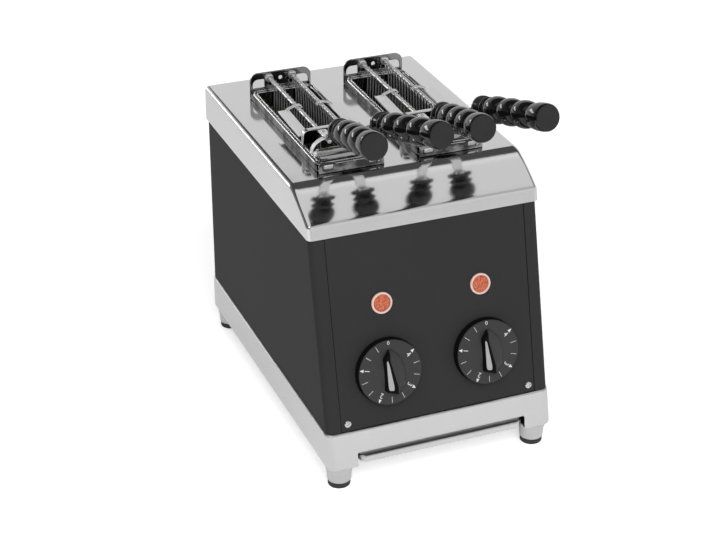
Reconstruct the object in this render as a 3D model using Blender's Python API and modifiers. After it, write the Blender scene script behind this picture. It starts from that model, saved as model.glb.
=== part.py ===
"""Two-slot upright sandwich toaster with two lift-out sandwich tongs.

Metres, +Z up, front towards -Y. The origin is the bottom centre of the bounding box.
Lengths along Y are measured from the front line of the base's top edge until the
last step, which centres the whole toaster on the origin.
"""
import math

import bmesh
import bpy
from mathutils import Vector

# Overall sizes
body_width = 0.225
body_depth = 0.3365
body_height = 0.189
panel_lean = math.radians(13.0)
gap = 0.0003
overrun = 0.004
drill_length = 0.012
weld_distance = 0.00001
sharp_angle = math.radians(40.0)
corner_steps = 5

# Feet
foot_inset = 0.0145
pad_height = 0.005
pad_radius = 0.0105
foot_height = 0.0168
foot_bottom_radius = 0.0110
foot_top_radius = 0.0128
foot_edge = 0.0008
foot_z = pad_height + gap
base_z = foot_z + foot_height + gap

# Base frame
base_height = 0.034
base_wall = 0.0015
base_corner = 0.009
side_flange = 0.028
end_flange = 0.032
ledge_side = 0.024
ledge_front = 0.105
ledge_rear = 0.0365
notch_inset = 0.0283
notch_half_width = body_width / 2 - notch_inset
notch_height = 0.0136
tab_width = 0.013
tab_height = 0.017
tab_thickness = 0.0015
base_top = base_z + base_height

# Crumb tray and its runners
tray_clearance = 0.0020
tray_half_width = notch_half_width - tray_clearance
tray_height = 0.0085
tray_wall = 0.0010
tray_depth = 0.300
tray_lip_inset = 0.0007
tray_lip_half_width = tray_half_width - tray_lip_inset
tray_lip_height = 0.0062
tray_lip_depth = 0.0075
tray_lip_edge = 0.0018
runner_thickness = 0.0012
runner_inner = 0.0075
runner_outer = 0.0120
runner_height = 0.0090
runner_length = 0.255
runner_front = 0.030

# Body shell and front panel
skin = 0.0010
cover_wall = 0.0012
body_inset = cover_wall + gap
body_corner = 0.0065
seam_inset = 0.0152
seam_half_width = body_width / 2 - seam_inset
panel_thickness = 0.0015
panel_top_share = 0.995

# Top cover
cover_overlap = 0.011
skirt_bottom = base_top + body_height - cover_overlap
cover_height = 0.035
lip_height = 0.0125
slope_start_back = 0.088
slope_steps = 7
cover_edge = 0.0050
cover_edge_steps = 3
cover_top = skirt_bottom + cover_height

# Toast slots
slot_pitch_share = 0.4356
slot_width_share = 0.5510
slot_pitch = body_width * slot_pitch_share
slot_half_width = slot_pitch * slot_width_share / 2
slot_front = 0.106
slot_rear = 0.279

# Lamps, dials and panel screws, placed up the sloping panel
control_pitch_share = 0.4311
control_half_pitch = body_width * control_pitch_share / 2
lamp_up = 0.1150
lamp_ring_radius = 0.0098
lamp_ring_height = 0.0016
lamp_ring_width = 0.0018
lamp_barrel_radius = 0.0068
lamp_barrel_length = 0.022
lamp_bore_radius = 0.0058
lens_dome = 0.0016
dial_up = 0.0515
dial_radius = 0.0305
dial_rim_radius = 0.0312
dial_thickness = 0.0078
dial_hub_radius = 0.0150
dial_hub_foot = 0.0188
dial_hub_height = 0.0030
dial_stem_radius = 0.0030
dial_stem_length = 0.016
dial_stand_off = 0.0010
dial_steps = 32
wing_length_up = 0.0195
wing_length_down = 0.0185
wing_length_heel = 0.0194
wing_tip_width = 0.0030
wing_heel_width = 0.0100
wing_height = 0.0140
wing_edge = 0.0008
pointer_inset = 0.0014
pointer_front_share = 0.55
pointer_height = 0.0008
shaft_clearance = 0.0003
timer_size = 0.040
timer_depth = 0.030
screw_up = 0.0080
screw_inset = 0.0067
screw_half_pitch = seam_half_width - screw_inset
screw_head_radius = 0.0032
screw_crown_radius = 0.0019
screw_head_height = 0.0017
screw_crown_height = 0.0015
screw_rim_height = 0.0005
screw_radius = 0.0018
screw_length = 0.0075
screw_slot_width = 0.0008
screw_slot_length = 0.0040
screw_slot_depth = 0.0008

# Cable gland on the back wall
gland_height = 0.030
gland_side_share = 0.2667
gland_x = body_width * gland_side_share
gland_radius = 0.0095
gland_tip_radius = 0.0067
gland_length = 0.012
gland_shoulder = 0.0048
gland_nut_radius = 0.0115
gland_nut_length = 0.006
gland_bore = 0.0036

# Heating chamber
reflector_middle = 0.005
reflector_offset = slot_pitch / 2 - reflector_middle
reflector_thickness = 0.0012
reflector_front = 0.098
reflector_rear = 0.3045
reflector_top_clearance = 0.006
heater_radius = 0.0030
heater_front = 0.128
heater_rear = 0.286
heater_low = 0.020
heater_pitch = 0.040
heater_rows = 4
heater_bend_steps = 6

# Tongs: carrier that rests on the cover
carrier_side = 0.0045
carrier_half_width = slot_half_width + carrier_side
carrier_front = 0.0985
carrier_rear = 0.2860
carrier_height = 0.0070
carrier_edge = 0.0008
skirt_depth = 0.0080
skirt_wall = 0.0010
carrier_z = cover_top + gap

# Tongs: end plates and bridge
plate_thickness = 0.0018
rear_plate_height = 0.0245
rear_plate_corner = 0.0080
window_rod_gap = 0.0043
window_height = 0.0080
window_edge = 0.0028
window_base = 0.0092
eyelet_radius = 0.0020
eyelet_up = 0.0172
front_plate_height = 0.0110
ear_height = 0.0155
ear_width = 0.0165
ear_corner = 0.0060
front_window_width = 0.0105
front_window_height = 0.0060
front_window_base = 0.0028
bridge_y = 0.1490
bridge_inset = 0.0025
bridge_half_width = carrier_half_width - bridge_inset
bridge_thickness = 0.0015
bridge_top = 0.0225
bridge_flange_inset = 0.0040
bridge_flange_depth = 0.0080

# Tongs: rods, wire grids and closing springs
rod_share = 0.1214
rod_offset = slot_pitch * rod_share
rod_up = 0.0185
rod_radius = 0.0019
rod_hole_radius = 0.0022
rod_front = 0.1180
rod_rear = 0.2905
wire_radius = 0.0010
grid_depth = 0.125
grid_front = 0.1620
grid_rear = 0.2740
grid_wires = 9
grid_bars = 3
grid_hook = 0.0080
grid_toe = 0.0020
bar_offset = 0.0008
bar_overhang = 0.0030
spring_share = 0.25
spring_width = 0.0090
spring_thickness = 0.0008
spring_offset = slot_pitch * spring_share
spring_up = 0.0152
spring_rear = 0.2080
clip_radius = 0.0009
clip_inset = 0.0030
clip_reach = 0.0030

# Tongs: arms and grips
arm_width = 0.0080
arm_thickness = 0.0020
arm_clearance = 0.0010
arm_rear = bridge_y - bridge_flange_depth - arm_clearance
arm_bend = 0.1200
arm_tail = 0.0100
grip_neck_share = 0.197
grip_neck_out = slot_pitch * grip_neck_share
grip_neck_y = 0.0770
grip_neck_up = 0.0490
grip_end_share = 0.309
grip_end_out = slot_pitch * grip_end_share
grip_end_y = -0.0295
grip_end_up = 0.0800
grip_radius = 0.0125
grip_shoulder_radius = 0.0120
grip_groove_radius = 0.0094
grip_flange_radius = 0.0112
grip_neck_radius = 0.0078
grip_cap_radius = 0.0116
grip_cap_edge = 0.0015
grip_flange_share = 0.04
grip_neck_start_share = 0.07
grip_ring_share = 0.10
grip_neck_end_share = 0.125
grip_ribs_start_share = 0.15
grip_ribs_end_share = 0.74
grip_shoulder_share = 0.79
grip_bulb_share = 0.84
grip_ribs = 3
grip_rib_steps = 5
grip_turn_steps = 16


def make_material(name, colour, roughness, metallic):
    """A Principled BSDF material with one plain finish."""
    material = bpy.data.materials.new(name)
    material.use_nodes = True
    shader = material.node_tree.nodes["Principled BSDF"]
    shader.inputs["Base Color"].default_value = (*colour, 1.0)
    shader.inputs["Roughness"].default_value = roughness
    shader.inputs["Metallic"].default_value = metallic
    return material


def finish(kind, name):
    """A new material of one of the toaster's finishes."""
    finishes = {
        "polished": ((0.72, 0.72, 0.72), 0.12, 1.0),
        "satin": ((0.66, 0.66, 0.66), 0.38, 1.0),
        "black_paint": ((0.045, 0.045, 0.047), 0.45, 0.0),
        "chrome": ((0.75, 0.75, 0.76), 0.10, 1.0),
        "bakelite": ((0.012, 0.012, 0.013), 0.22, 0.0),
        "black_plastic": ((0.030, 0.030, 0.032), 0.40, 0.0),
        "rubber": ((0.020, 0.020, 0.020), 0.75, 0.0),
        "grey_plastic": ((0.50, 0.50, 0.50), 0.50, 0.0),
        "lamp": ((0.80, 0.13, 0.05), 0.25, 0.0),
        "lamp_ring": ((0.55, 0.42, 0.40), 0.35, 0.0),
        "bright_sheet": ((0.60, 0.60, 0.58), 0.30, 1.0),
        "element": ((0.22, 0.20, 0.18), 0.55, 1.0),
    }
    return make_material(name + "_" + kind, *finishes[kind])


def add_object(name, data, kind, parent, location=(0.0, 0.0, 0.0), rotation=(0.0, 0.0, 0.0)):
    """Puts a new object in the toaster's collection, or among the cutters when it has no finish."""
    thing = bpy.data.objects.new(name, data)
    if kind is None:
        cutters.objects.link(thing)
        thing.hide_render = True
        thing.display_type = "WIRE"
    else:
        toaster.objects.link(thing)
        data.materials.append(finish(kind, name))
    thing.parent = parent
    thing.location = location
    thing.rotation_euler = rotation
    return thing


def add_empty(name, parent, location=(0.0, 0.0, 0.0), rotation=(0.0, 0.0, 0.0)):
    """An empty that places what it carries."""
    empty = bpy.data.objects.new(name, None)
    toaster.objects.link(empty)
    empty.parent = parent
    empty.location = location
    empty.rotation_euler = rotation
    return empty


def mesh_of(name, bm):
    """Turns a bmesh into mesh data with its faces pointing out."""
    bmesh.ops.recalc_face_normals(bm, faces=bm.faces)
    mesh = bpy.data.meshes.new(name)
    bm.to_mesh(mesh)
    bm.free()
    return mesh


def box(name, kind, parent, low, high, edge=0.0):
    """A block between two corners, its origin at its centre."""
    centre = (Vector(low) + Vector(high)) / 2
    size = Vector(high) - Vector(low)
    bm = bmesh.new()
    bmesh.ops.create_cube(bm, size=1.0)
    bmesh.ops.scale(bm, vec=size, verts=bm.verts)
    block = add_object(name, mesh_of(name, bm), kind, parent, centre)
    if edge:
        round_edges(block, edge, 2)
    return block


def cylinder(name, kind, parent, radius, length, location, rotation=(0.0, 0.0, 0.0), sides=24):
    """A round bar centred on its location, its axis on Z before it is turned."""
    bm = bmesh.new()
    bmesh.ops.create_cone(
        bm, cap_ends=True, segments=sides, radius1=radius, radius2=radius, depth=length
    )
    return add_object(name, mesh_of(name, bm), kind, parent, location, rotation)


def turned(name, kind, parent, profile, location, rotation=(0.0, 0.0, 0.0), steps=20):
    """A solid turned from (radius, height) points that run down its outer side."""
    bm = bmesh.new()
    points = [bm.verts.new((radius, 0.0, height)) for radius, height in profile]
    for upper, lower in zip(points, points[1:]):
        bm.edges.new((upper, lower))
    mesh = bpy.data.meshes.new(name)
    bm.to_mesh(mesh)
    bm.free()
    solid = add_object(name, mesh, kind, parent, location, rotation)
    screw = solid.modifiers.new("Turn", "SCREW")
    screw.axis = "Z"
    screw.steps = steps
    screw.render_steps = steps
    screw.use_merge_vertices = True
    screw.merge_threshold = weld_distance
    return solid


def outline_plate(name, kind, parent, outlines, thickness, location, rotation=(0.0, 0.0, 0.0)):
    """A flat plate from a filled 2D curve; outlines after the first are holes in it."""
    curve = bpy.data.curves.new(name, "CURVE")
    curve.dimensions = "2D"
    curve.fill_mode = "BOTH"
    curve.extrude = thickness / 2
    for outline in outlines:
        spline = curve.splines.new("POLY")
        spline.points.add(len(outline) - 1)
        for point, (across, up) in zip(spline.points, outline):
            point.co = (across, up, 0.0, 1.0)
        spline.use_cyclic_u = True
    return add_object(name, curve, kind, parent, location, rotation)


def circle_points(across, up, radius, count=16):
    """Points round a circle."""
    angles = [2 * math.pi * step / count for step in range(count)]
    return [(across + radius * math.cos(a), up + radius * math.sin(a)) for a in angles]


def arc_points(across, up, radius, start, end, steps=corner_steps):
    """Points along an arc, the angles in degrees."""
    angles = [math.radians(start + (end - start) * step / steps) for step in range(steps + 1)]
    return [(across + radius * math.cos(a), up + radius * math.sin(a)) for a in angles]


def tube_mesh(name, runs, radius, resolution=1):
    """Mesh of round wires, one for each run of points, with welded caps."""
    curve = bpy.data.curves.new(name, "CURVE")
    curve.dimensions = "3D"
    curve.bevel_depth = radius
    curve.bevel_resolution = resolution
    curve.use_fill_caps = True
    for run in runs:
        spline = curve.splines.new("POLY")
        spline.points.add(len(run) - 1)
        for point, place in zip(spline.points, run):
            point.co = (*place, 1.0)
    wires = bpy.data.objects.new(name, curve)
    toaster.objects.link(wires)
    graph = bpy.context.evaluated_depsgraph_get()
    mesh = bpy.data.meshes.new_from_object(wires.evaluated_get(graph))
    bpy.data.objects.remove(wires)
    bm = bmesh.new()
    bm.from_mesh(mesh)
    bmesh.ops.remove_doubles(bm, verts=bm.verts, dist=weld_distance)
    bmesh.ops.recalc_face_normals(bm, faces=bm.faces)
    bm.to_mesh(mesh)
    bm.free()
    mesh.materials.clear()
    return mesh


def combine(target, other, operation):
    """An exact Boolean of the target with another solid."""
    boolean = target.modifiers.new(operation.title() + " " + other.name, "BOOLEAN")
    boolean.operation = operation
    boolean.object = other
    boolean.solver = "EXACT"


def cut(target, *others):
    """Cuts each of the others from the target."""
    for other in others:
        combine(target, other, "DIFFERENCE")


def join(target, *others):
    """Joins each of the others to the target."""
    for other in others:
        combine(target, other, "UNION")


def round_edges(thing, width, segments):
    """Rounds every sharp edge of a solid."""
    bevel = thing.modifiers.new("Round edges", "BEVEL")
    bevel.width = width
    bevel.segments = segments
    bevel.limit_method = "ANGLE"
    bevel.angle_limit = sharp_angle


def front_y(height, inset=0.0):
    """Where the sloping front plane stands at a height, moved into the toaster by an inset."""
    return (height - base_top) * math.tan(panel_lean) + inset / math.cos(panel_lean)


def leaning_prism(name, kind, half_width, rear, radius, low, high, inset=0.0):
    """An upright block with rounded corners whose front leans back with the panel."""
    front = front_y(low, inset)
    plan = []
    corners = (
        (half_width - radius, front + radius, -90, 0),
        (half_width - radius, rear - radius, 0, 90),
        (radius - half_width, rear - radius, 90, 180),
        (radius - half_width, front + radius, 180, 270),
    )
    for across, along, start, end in corners:
        plan += arc_points(across, along, radius, start, end)
    bm = bmesh.new()
    floor = bm.faces.new([bm.verts.new((x, y, low)) for x, y in plan])
    raised = bmesh.ops.extrude_face_region(bm, geom=[floor])["geom"]
    lean = front_y(high, inset) - front
    middle = (front + rear) / 2
    for vert in raised:
        if isinstance(vert, bmesh.types.BMVert):
            vert.co.z = high
            if vert.co.y < middle:
                vert.co.y += lean
    return add_object(name, mesh_of(name, bm), kind, root)


def make_feet():
    """Four tapered metal feet, each on a rubber pad."""
    front = front_y(base_z) + foot_inset
    rear = body_depth - foot_inset
    side = body_width / 2 - foot_inset
    for row, along in (("front", front), ("rear", rear)):
        for hand, across in (("left", -side), ("right", side)):
            top = foot_height
            foot_profile = (
                (0.0, top),
                (foot_top_radius - foot_edge, top),
                (foot_top_radius, top - foot_edge),
                (foot_bottom_radius, foot_edge),
                (foot_bottom_radius - foot_edge, 0.0),
                (0.0, 0.0),
            )
            pad_profile = (
                (0.0, pad_height),
                (pad_radius, pad_height),
                (pad_radius, foot_edge),
                (pad_radius - foot_edge, 0.0),
                (0.0, 0.0),
            )
            name = row + "_" + hand
            turned("foot_" + name, "satin", root, foot_profile, (across, along, foot_z))
            turned("foot_pad_" + name, "rubber", root, pad_profile, (across, along, 0.0))


def make_base():
    """The base frame: a folded band with a ledge above, flanges below and the tray's notch."""
    half = body_width / 2
    base = leaning_prism("base_frame", "satin", half, body_depth, base_corner, base_z, base_top)
    inside = leaning_prism(
        "base_cavity", None, half - base_wall, body_depth - base_wall,
        base_corner - base_wall, base_z + base_wall, base_top - base_wall, base_wall,
    )
    well = box(
        "base_well", None, root,
        (ledge_side - half, ledge_front, base_top - overrun),
        (half - ledge_side, body_depth - ledge_rear, base_top + overrun),
    )
    window = box(
        "base_window", None, root,
        (side_flange - half, front_y(base_z) + end_flange, base_z - overrun),
        (half - side_flange, body_depth - end_flange, base_z + overrun),
    )
    notch = box(
        "tray_notch", None, root,
        (-notch_half_width, front_y(base_z) - overrun, base_z - overrun),
        (notch_half_width, front_y(base_z) + end_flange + overrun, base_z + notch_height),
    )
    cut(base, inside, well, window, notch)
    for hand, side in (("left", -1), ("right", 1)):
        inner = side * (seam_half_width - tab_width)
        outer = side * seam_half_width
        depth = body_inset + panel_thickness + gap
        tab = box(
            "panel_tab_" + hand, None, panel_plane,
            (min(inner, outer), depth, -base_wall),
            (max(inner, outer), depth + tab_thickness, tab_height),
        )
        hole = cylinder(
            "tab_hole_" + hand, None, panel_plane, screw_radius + gap, drill_length,
            (side * screw_half_pitch, depth, screw_up), (math.radians(90), 0.0, 0.0),
        )
        join(base, tab)
        cut(base, hole)


def make_tray():
    """The crumb tray with its front lip, and the runners it slides on."""
    floor_z = base_z + base_wall + gap + runner_thickness + gap
    front = front_y(base_z) + tray_lip_depth
    tray = box(
        "crumb_tray", "satin", root,
        (-tray_half_width, front, floor_z),
        (tray_half_width, front + tray_depth, floor_z + tray_height),
    )
    inner_half = tray_half_width - tray_wall
    inner_rear = front + tray_depth - tray_wall
    hollow = box(
        "tray_hollow", None, root,
        (-inner_half, front + tray_wall, floor_z + tray_wall),
        (inner_half, inner_rear, floor_z + tray_height + overrun),
    )
    lip = box(
        "tray_lip", None, root,
        (-tray_lip_half_width, front_y(base_z), floor_z),
        (tray_lip_half_width, front + tray_wall / 2, floor_z + tray_lip_height),
        tray_lip_edge,
    )
    cut(tray, hollow)
    join(tray, lip)
    low = base_z + base_wall + gap
    for hand, side in (("left", -1), ("right", 1)):
        wall = tray_half_width + gap
        outline = [
            (wall - runner_inner, low),
            (wall + runner_outer, low),
            (wall + runner_outer, low + runner_thickness),
            (wall + runner_thickness, low + runner_thickness),
            (wall + runner_thickness, low + runner_height),
            (wall, low + runner_height),
            (wall, low + runner_thickness),
            (wall - runner_inner, low + runner_thickness),
        ]
        places = [(side * across, up) for across, up in outline]
        outline_plate(
            "tray_runner_" + hand, "bright_sheet", root, [places], runner_length,
            (0.0, runner_front + runner_length / 2, 0.0), (math.radians(90), 0.0, 0.0),
        )


def make_body():
    """The black shell round the sides and back, and the sloping front panel."""
    low = base_top + gap
    high = base_top + body_height
    half = body_width / 2 - body_inset
    rear = body_depth - body_inset
    shell = leaning_prism(
        "body_shell", "black_paint", half, rear, body_corner, low, high, body_inset
    )
    inside = leaning_prism(
        "shell_cavity", None, half - skin, rear - skin, body_corner - skin,
        low - overrun, high + overrun, body_inset + skin,
    )
    slope_height = body_height / math.cos(panel_lean)
    mouth = box(
        "shell_mouth", None, panel_plane,
        (-seam_half_width, -overrun, -overrun),
        (seam_half_width, skin + body_inset + overrun, slope_height + overrun),
    )
    gland_hole = cylinder(
        "gland_hole", None, root, gland_radius + gap, overrun * 2,
        (gland_x, rear, base_top + gland_height), (math.radians(90), 0.0, 0.0),
    )
    cut(shell, inside, mouth, gland_hole)

    panel_height = slope_height * panel_top_share
    panel_low = (body_inset + panel_thickness) * math.tan(panel_lean) + gap
    panel = box(
        "front_panel", "black_paint", panel_plane,
        (gap - seam_half_width, body_inset, panel_low),
        (seam_half_width - gap, body_inset + panel_thickness, panel_height),
    )
    upright = (math.radians(90), 0.0, 0.0)
    for hand, side in (("left", -1), ("right", 1)):
        across = side * control_half_pitch
        holes = (
            ("lamp_hole_", lamp_barrel_radius + gap, (across, body_inset, lamp_up)),
            ("stem_hole_", dial_stem_radius + 2 * gap, (across, body_inset, dial_up)),
            ("screw_hole_", screw_radius + gap, (side * screw_half_pitch, body_inset, screw_up)),
        )
        for name, radius, place in holes:
            drill = cylinder(name + hand, None, panel_plane, radius, drill_length, place, upright)
            cut(panel, drill)


def make_cover():
    """The deep polished cover: flat top, rounded front slope, lip and skirt, with two slots."""
    lip_top = skirt_bottom + lip_height
    rise = cover_top - lip_top
    run = slope_start_back - front_y(lip_top)
    bend = (run * run + rise * rise) / (2 * rise)
    sweep = math.degrees(math.asin(run / bend))
    profile = [(front_y(skirt_bottom), skirt_bottom)]
    profile += arc_points(
        slope_start_back, cover_top - bend, bend, 90 + sweep, 90, slope_steps
    )
    profile += [(body_depth, cover_top), (body_depth, skirt_bottom)]
    bm = bmesh.new()
    side = bm.faces.new([bm.verts.new((-body_width / 2, y, z)) for y, z in profile])
    raised = bmesh.ops.extrude_face_region(bm, geom=[side])["geom"]
    moved = [item for item in raised if isinstance(item, bmesh.types.BMVert)]
    bmesh.ops.translate(bm, verts=moved, vec=(body_width, 0.0, 0.0))
    bmesh.ops.recalc_face_normals(bm, faces=bm.faces)
    floor = min(bm.faces, key=lambda face: face.normal.z)
    bmesh.ops.delete(bm, geom=[floor], context="FACES_ONLY")
    mesh = bpy.data.meshes.new("top_cover")
    bm.to_mesh(mesh)
    bm.free()
    cover = add_object("top_cover", mesh, "polished", root)
    round_edges(cover, cover_edge, cover_edge_steps)
    thicken = cover.modifiers.new("Sheet", "SOLIDIFY")
    thicken.thickness = cover_wall
    thicken.offset = -1.0
    thicken.use_even_offset = True
    for hand, side in (("left", -1), ("right", 1)):
        centre = side * slot_pitch / 2
        slot = box(
            "slot_" + hand, None, root,
            (centre - slot_half_width, slot_front, cover_top - overrun),
            (centre + slot_half_width, slot_rear, cover_top + overrun),
        )
        cut(cover, slot)


def make_controls():
    """Lamps, timers, dials with their pointers, and the two panel screws."""
    outward = (math.radians(90), 0.0, 0.0)
    for hand, side in (("left", -1), ("right", 1)):
        across = side * control_half_pitch
        lamp_place = (across, body_inset - gap, lamp_up)
        seat = lamp_ring_radius - lamp_ring_width
        bezel_profile = (
            (seat, lamp_ring_height),
            (lamp_ring_radius - lamp_ring_height / 2, lamp_ring_height),
            (lamp_ring_radius, lamp_ring_height / 2),
            (lamp_ring_radius, 0.0),
            (lamp_barrel_radius, 0.0),
            (lamp_barrel_radius, -lamp_barrel_length),
            (lamp_bore_radius, -lamp_barrel_length),
            (lamp_bore_radius, lamp_ring_height / 3),
            (seat, lamp_ring_height / 3),
            (seat, lamp_ring_height),
        )
        turned("lamp_bezel_" + hand, "lamp_ring", panel_plane, bezel_profile, lamp_place, outward)
        lens_radius = seat - gap
        lens_low = lamp_ring_height / 3 + gap
        dome = [
            (lens_radius * math.sin(a), lamp_ring_height + lens_dome * math.cos(a))
            for a in (math.radians(90 * step / 4) for step in range(5))
        ]
        lens_profile = dome + [(lens_radius, lens_low), (0.0, lens_low)]
        turned("lamp_lens_" + hand, "lamp", panel_plane, lens_profile, lamp_place, outward)

        make_dial(hand, across)

        timer_front = body_inset + panel_thickness + gap
        timer = box(
            "timer_" + hand, "grey_plastic", panel_plane,
            (across - timer_size / 2, timer_front, dial_up - timer_size / 2),
            (across + timer_size / 2, timer_front + timer_depth, dial_up + timer_size / 2),
            wing_edge,
        )
        bore = cylinder(
            "timer_bore_" + hand, None, panel_plane, dial_stem_radius + shaft_clearance,
            dial_stem_length * 2, (across, timer_front, dial_up), outward,
        )
        cut(timer, bore)
        make_screw(hand, side * screw_half_pitch, outward)


def make_dial(hand, across):
    """A round dial with a raised wing, its stem in the timer, and the pale pointer in the wing."""
    outward = (math.radians(90), 0.0, 0.0)
    pivot = add_empty("dial_axis_" + hand, panel_plane, (across, body_inset, dial_up), outward)
    top = dial_stand_off + dial_thickness
    profile = (
        (0.0, top + dial_hub_height),
        (dial_hub_radius, top + dial_hub_height / 2),
        (dial_hub_foot, top),
        (dial_radius - wing_edge, top),
        (dial_radius, top - wing_edge),
        (dial_rim_radius, dial_stand_off),
        (dial_stem_radius, dial_stand_off),
        (dial_stem_radius, -dial_stem_length),
        (0.0, -dial_stem_length),
    )
    place = (0.0, 0.0, 0.0)
    dial = turned("timer_dial_" + hand, "black_plastic", pivot, profile, place, steps=dial_steps)
    tip, heel = wing_tip_width / 2, wing_heel_width / 2
    wing_outline = [
        (-tip, wing_length_up),
        (-heel / 2, -wing_length_down * pointer_front_share),
        (-heel / 2, -wing_length_down),
        (heel, -wing_length_heel),
        (tip, wing_length_up),
    ]
    wing_low = dial_stand_off + dial_stand_off
    wing_top = dial_stand_off + wing_height
    wing = wedge("dial_wing_" + hand, None, pivot, wing_outline, wing_low, wing_top)
    join(dial, wing)
    outline = [
        (-tip / 2, wing_length_up * pointer_front_share),
        (-heel / 4, -wing_length_down + pointer_inset * 2),
        (heel / 4, -wing_length_down + pointer_inset),
        (tip / 2, wing_length_up * pointer_front_share),
    ]
    wide = [(x + math.copysign(gap, x), y + math.copysign(gap, y)) for x, y in outline]
    low = wing_top - pointer_height
    recess = wedge("pointer_recess_" + hand, None, pivot, wide, low - gap, wing_top + overrun)
    cut(dial, recess)
    wedge("dial_pointer_" + hand, "grey_plastic", pivot, outline, low, wing_top + gap)


def wedge(name, kind, parent, outline, low, high):
    """An upright prism on a plan outline."""
    bm = bmesh.new()
    floor = bm.faces.new([bm.verts.new((x, y, low)) for x, y in outline])
    raised = bmesh.ops.extrude_face_region(bm, geom=[floor])["geom"]
    moved = [item for item in raised if isinstance(item, bmesh.types.BMVert)]
    bmesh.ops.translate(bm, verts=moved, vec=(0.0, 0.0, high - low))
    return add_object(name, mesh_of(name, bm), kind, parent)


def make_screw(hand, across, outward):
    """A cross-head screw that holds the front panel to the base."""
    profile = (
        (0.0, screw_head_height),
        (screw_crown_radius, screw_crown_height),
        (screw_head_radius, screw_rim_height),
        (screw_head_radius, 0.0),
        (screw_radius, 0.0),
        (screw_radius, -screw_length),
        (0.0, -screw_length),
    )
    place = (across, body_inset - gap, screw_up)
    screw = turned("panel_screw_" + hand, "polished", panel_plane, profile, place, outward, 16)
    deep = screw_head_height - screw_slot_depth
    for turn, (wide, tall) in enumerate(
        ((screw_slot_length, screw_slot_width), (screw_slot_width, screw_slot_length))
    ):
        slot = box(
            "cross_" + hand + str(turn), None, screw,
            (-wide / 2, -tall / 2, deep), (wide / 2, tall / 2, deep + overrun),
        )
        cut(screw, slot)


def make_gland():
    """The cable gland in the back wall, empty."""
    rear = body_depth - body_inset
    nut = gap + gland_nut_length
    profile = (
        (gland_bore, nut + gland_length),
        (gland_tip_radius, nut + gland_length),
        (gland_radius, nut + gland_shoulder),
        (gland_radius, nut),
        (gland_nut_radius, nut),
        (gland_nut_radius, gap),
        (gland_radius, gap),
        (gland_radius, -gland_nut_length),
        (gland_bore, -gland_nut_length),
        (gland_bore, nut + gland_length),
    )
    turned(
        "cable_gland", "black_plastic", root, profile,
        (gland_x, rear, base_top + gland_height), (math.radians(-90), 0.0, 0.0),
    )


def make_heaters():
    """Reflector sheets beside the slots and a bent tubular element on each face of a slot."""
    low = base_top + gap
    high = cover_top - cover_wall - reflector_top_clearance
    inner = slot_pitch / 2 - reflector_offset
    outer = slot_pitch / 2 + reflector_offset
    sheets = (("left", -outer), ("right", outer), ("centre_left", -inner), ("centre_right", inner))
    for name, across in sheets:
        box(
            "reflector_" + name, "bright_sheet", root,
            (across - reflector_thickness / 2, reflector_front, low),
            (across + reflector_thickness / 2, reflector_rear, high),
        )
    away = reflector_thickness / 2 + gap + heater_radius
    elements = (
        ("left_outer", -outer + away),
        ("left_inner", -inner - away),
        ("right_inner", inner + away),
        ("right_outer", outer - away),
    )
    for name, across in elements:
        path = []
        for row in range(heater_rows):
            height = base_top + heater_low + row * heater_pitch
            ends = (heater_front, heater_rear) if row % 2 == 0 else (heater_rear, heater_front)
            path.append((0.0, ends[0], height))
            path.append((0.0, ends[1], height))
            if row < heater_rows - 1:
                bulge = 1 if row % 2 == 0 else -1
                for step in range(1, heater_bend_steps):
                    angle = math.pi * step / heater_bend_steps
                    path.append((
                        0.0,
                        ends[1] + bulge * math.sin(angle) * heater_pitch / 2,
                        height + heater_pitch / 2 * (1 - math.cos(angle)),
                    ))
        mesh = tube_mesh("heater_" + name, [path], heater_radius, 2)
        add_object("heater_" + name, mesh, "element", root, (across, 0.0, 0.0))


def make_tongs(hand, centre):
    """One pair of lift-out tongs: carrier, end plates, bridge and two sprung jaws."""
    name = hand + "_tongs_"
    tongs = add_empty(hand + "_tongs", root, (centre, 0.0, carrier_z))
    carrier = box(
        name + "carrier", "chrome", tongs,
        (-carrier_half_width, carrier_front, 0.0),
        (carrier_half_width, carrier_rear, carrier_height),
        carrier_edge,
    )
    reach = slot_half_width - gap
    skirt = box(
        name + "skirt", None, tongs,
        (-reach, slot_front + gap, -skirt_depth),
        (reach, slot_rear - gap, carrier_height / 2),
    )
    inner = reach - skirt_wall
    opening = box(
        name + "opening", None, tongs,
        (-inner, slot_front + gap + skirt_wall, -skirt_depth - overrun),
        (inner, slot_rear - gap - skirt_wall, carrier_height + overrun),
    )
    join(carrier, skirt)
    cut(carrier, opening)
    make_end_plates(name, tongs)
    make_bridge(name, tongs)
    for jaw, side in (("left", -1), ("right", 1)):
        make_jaw(name, tongs, jaw, side)
        make_spring(name, tongs, jaw, side)


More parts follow.
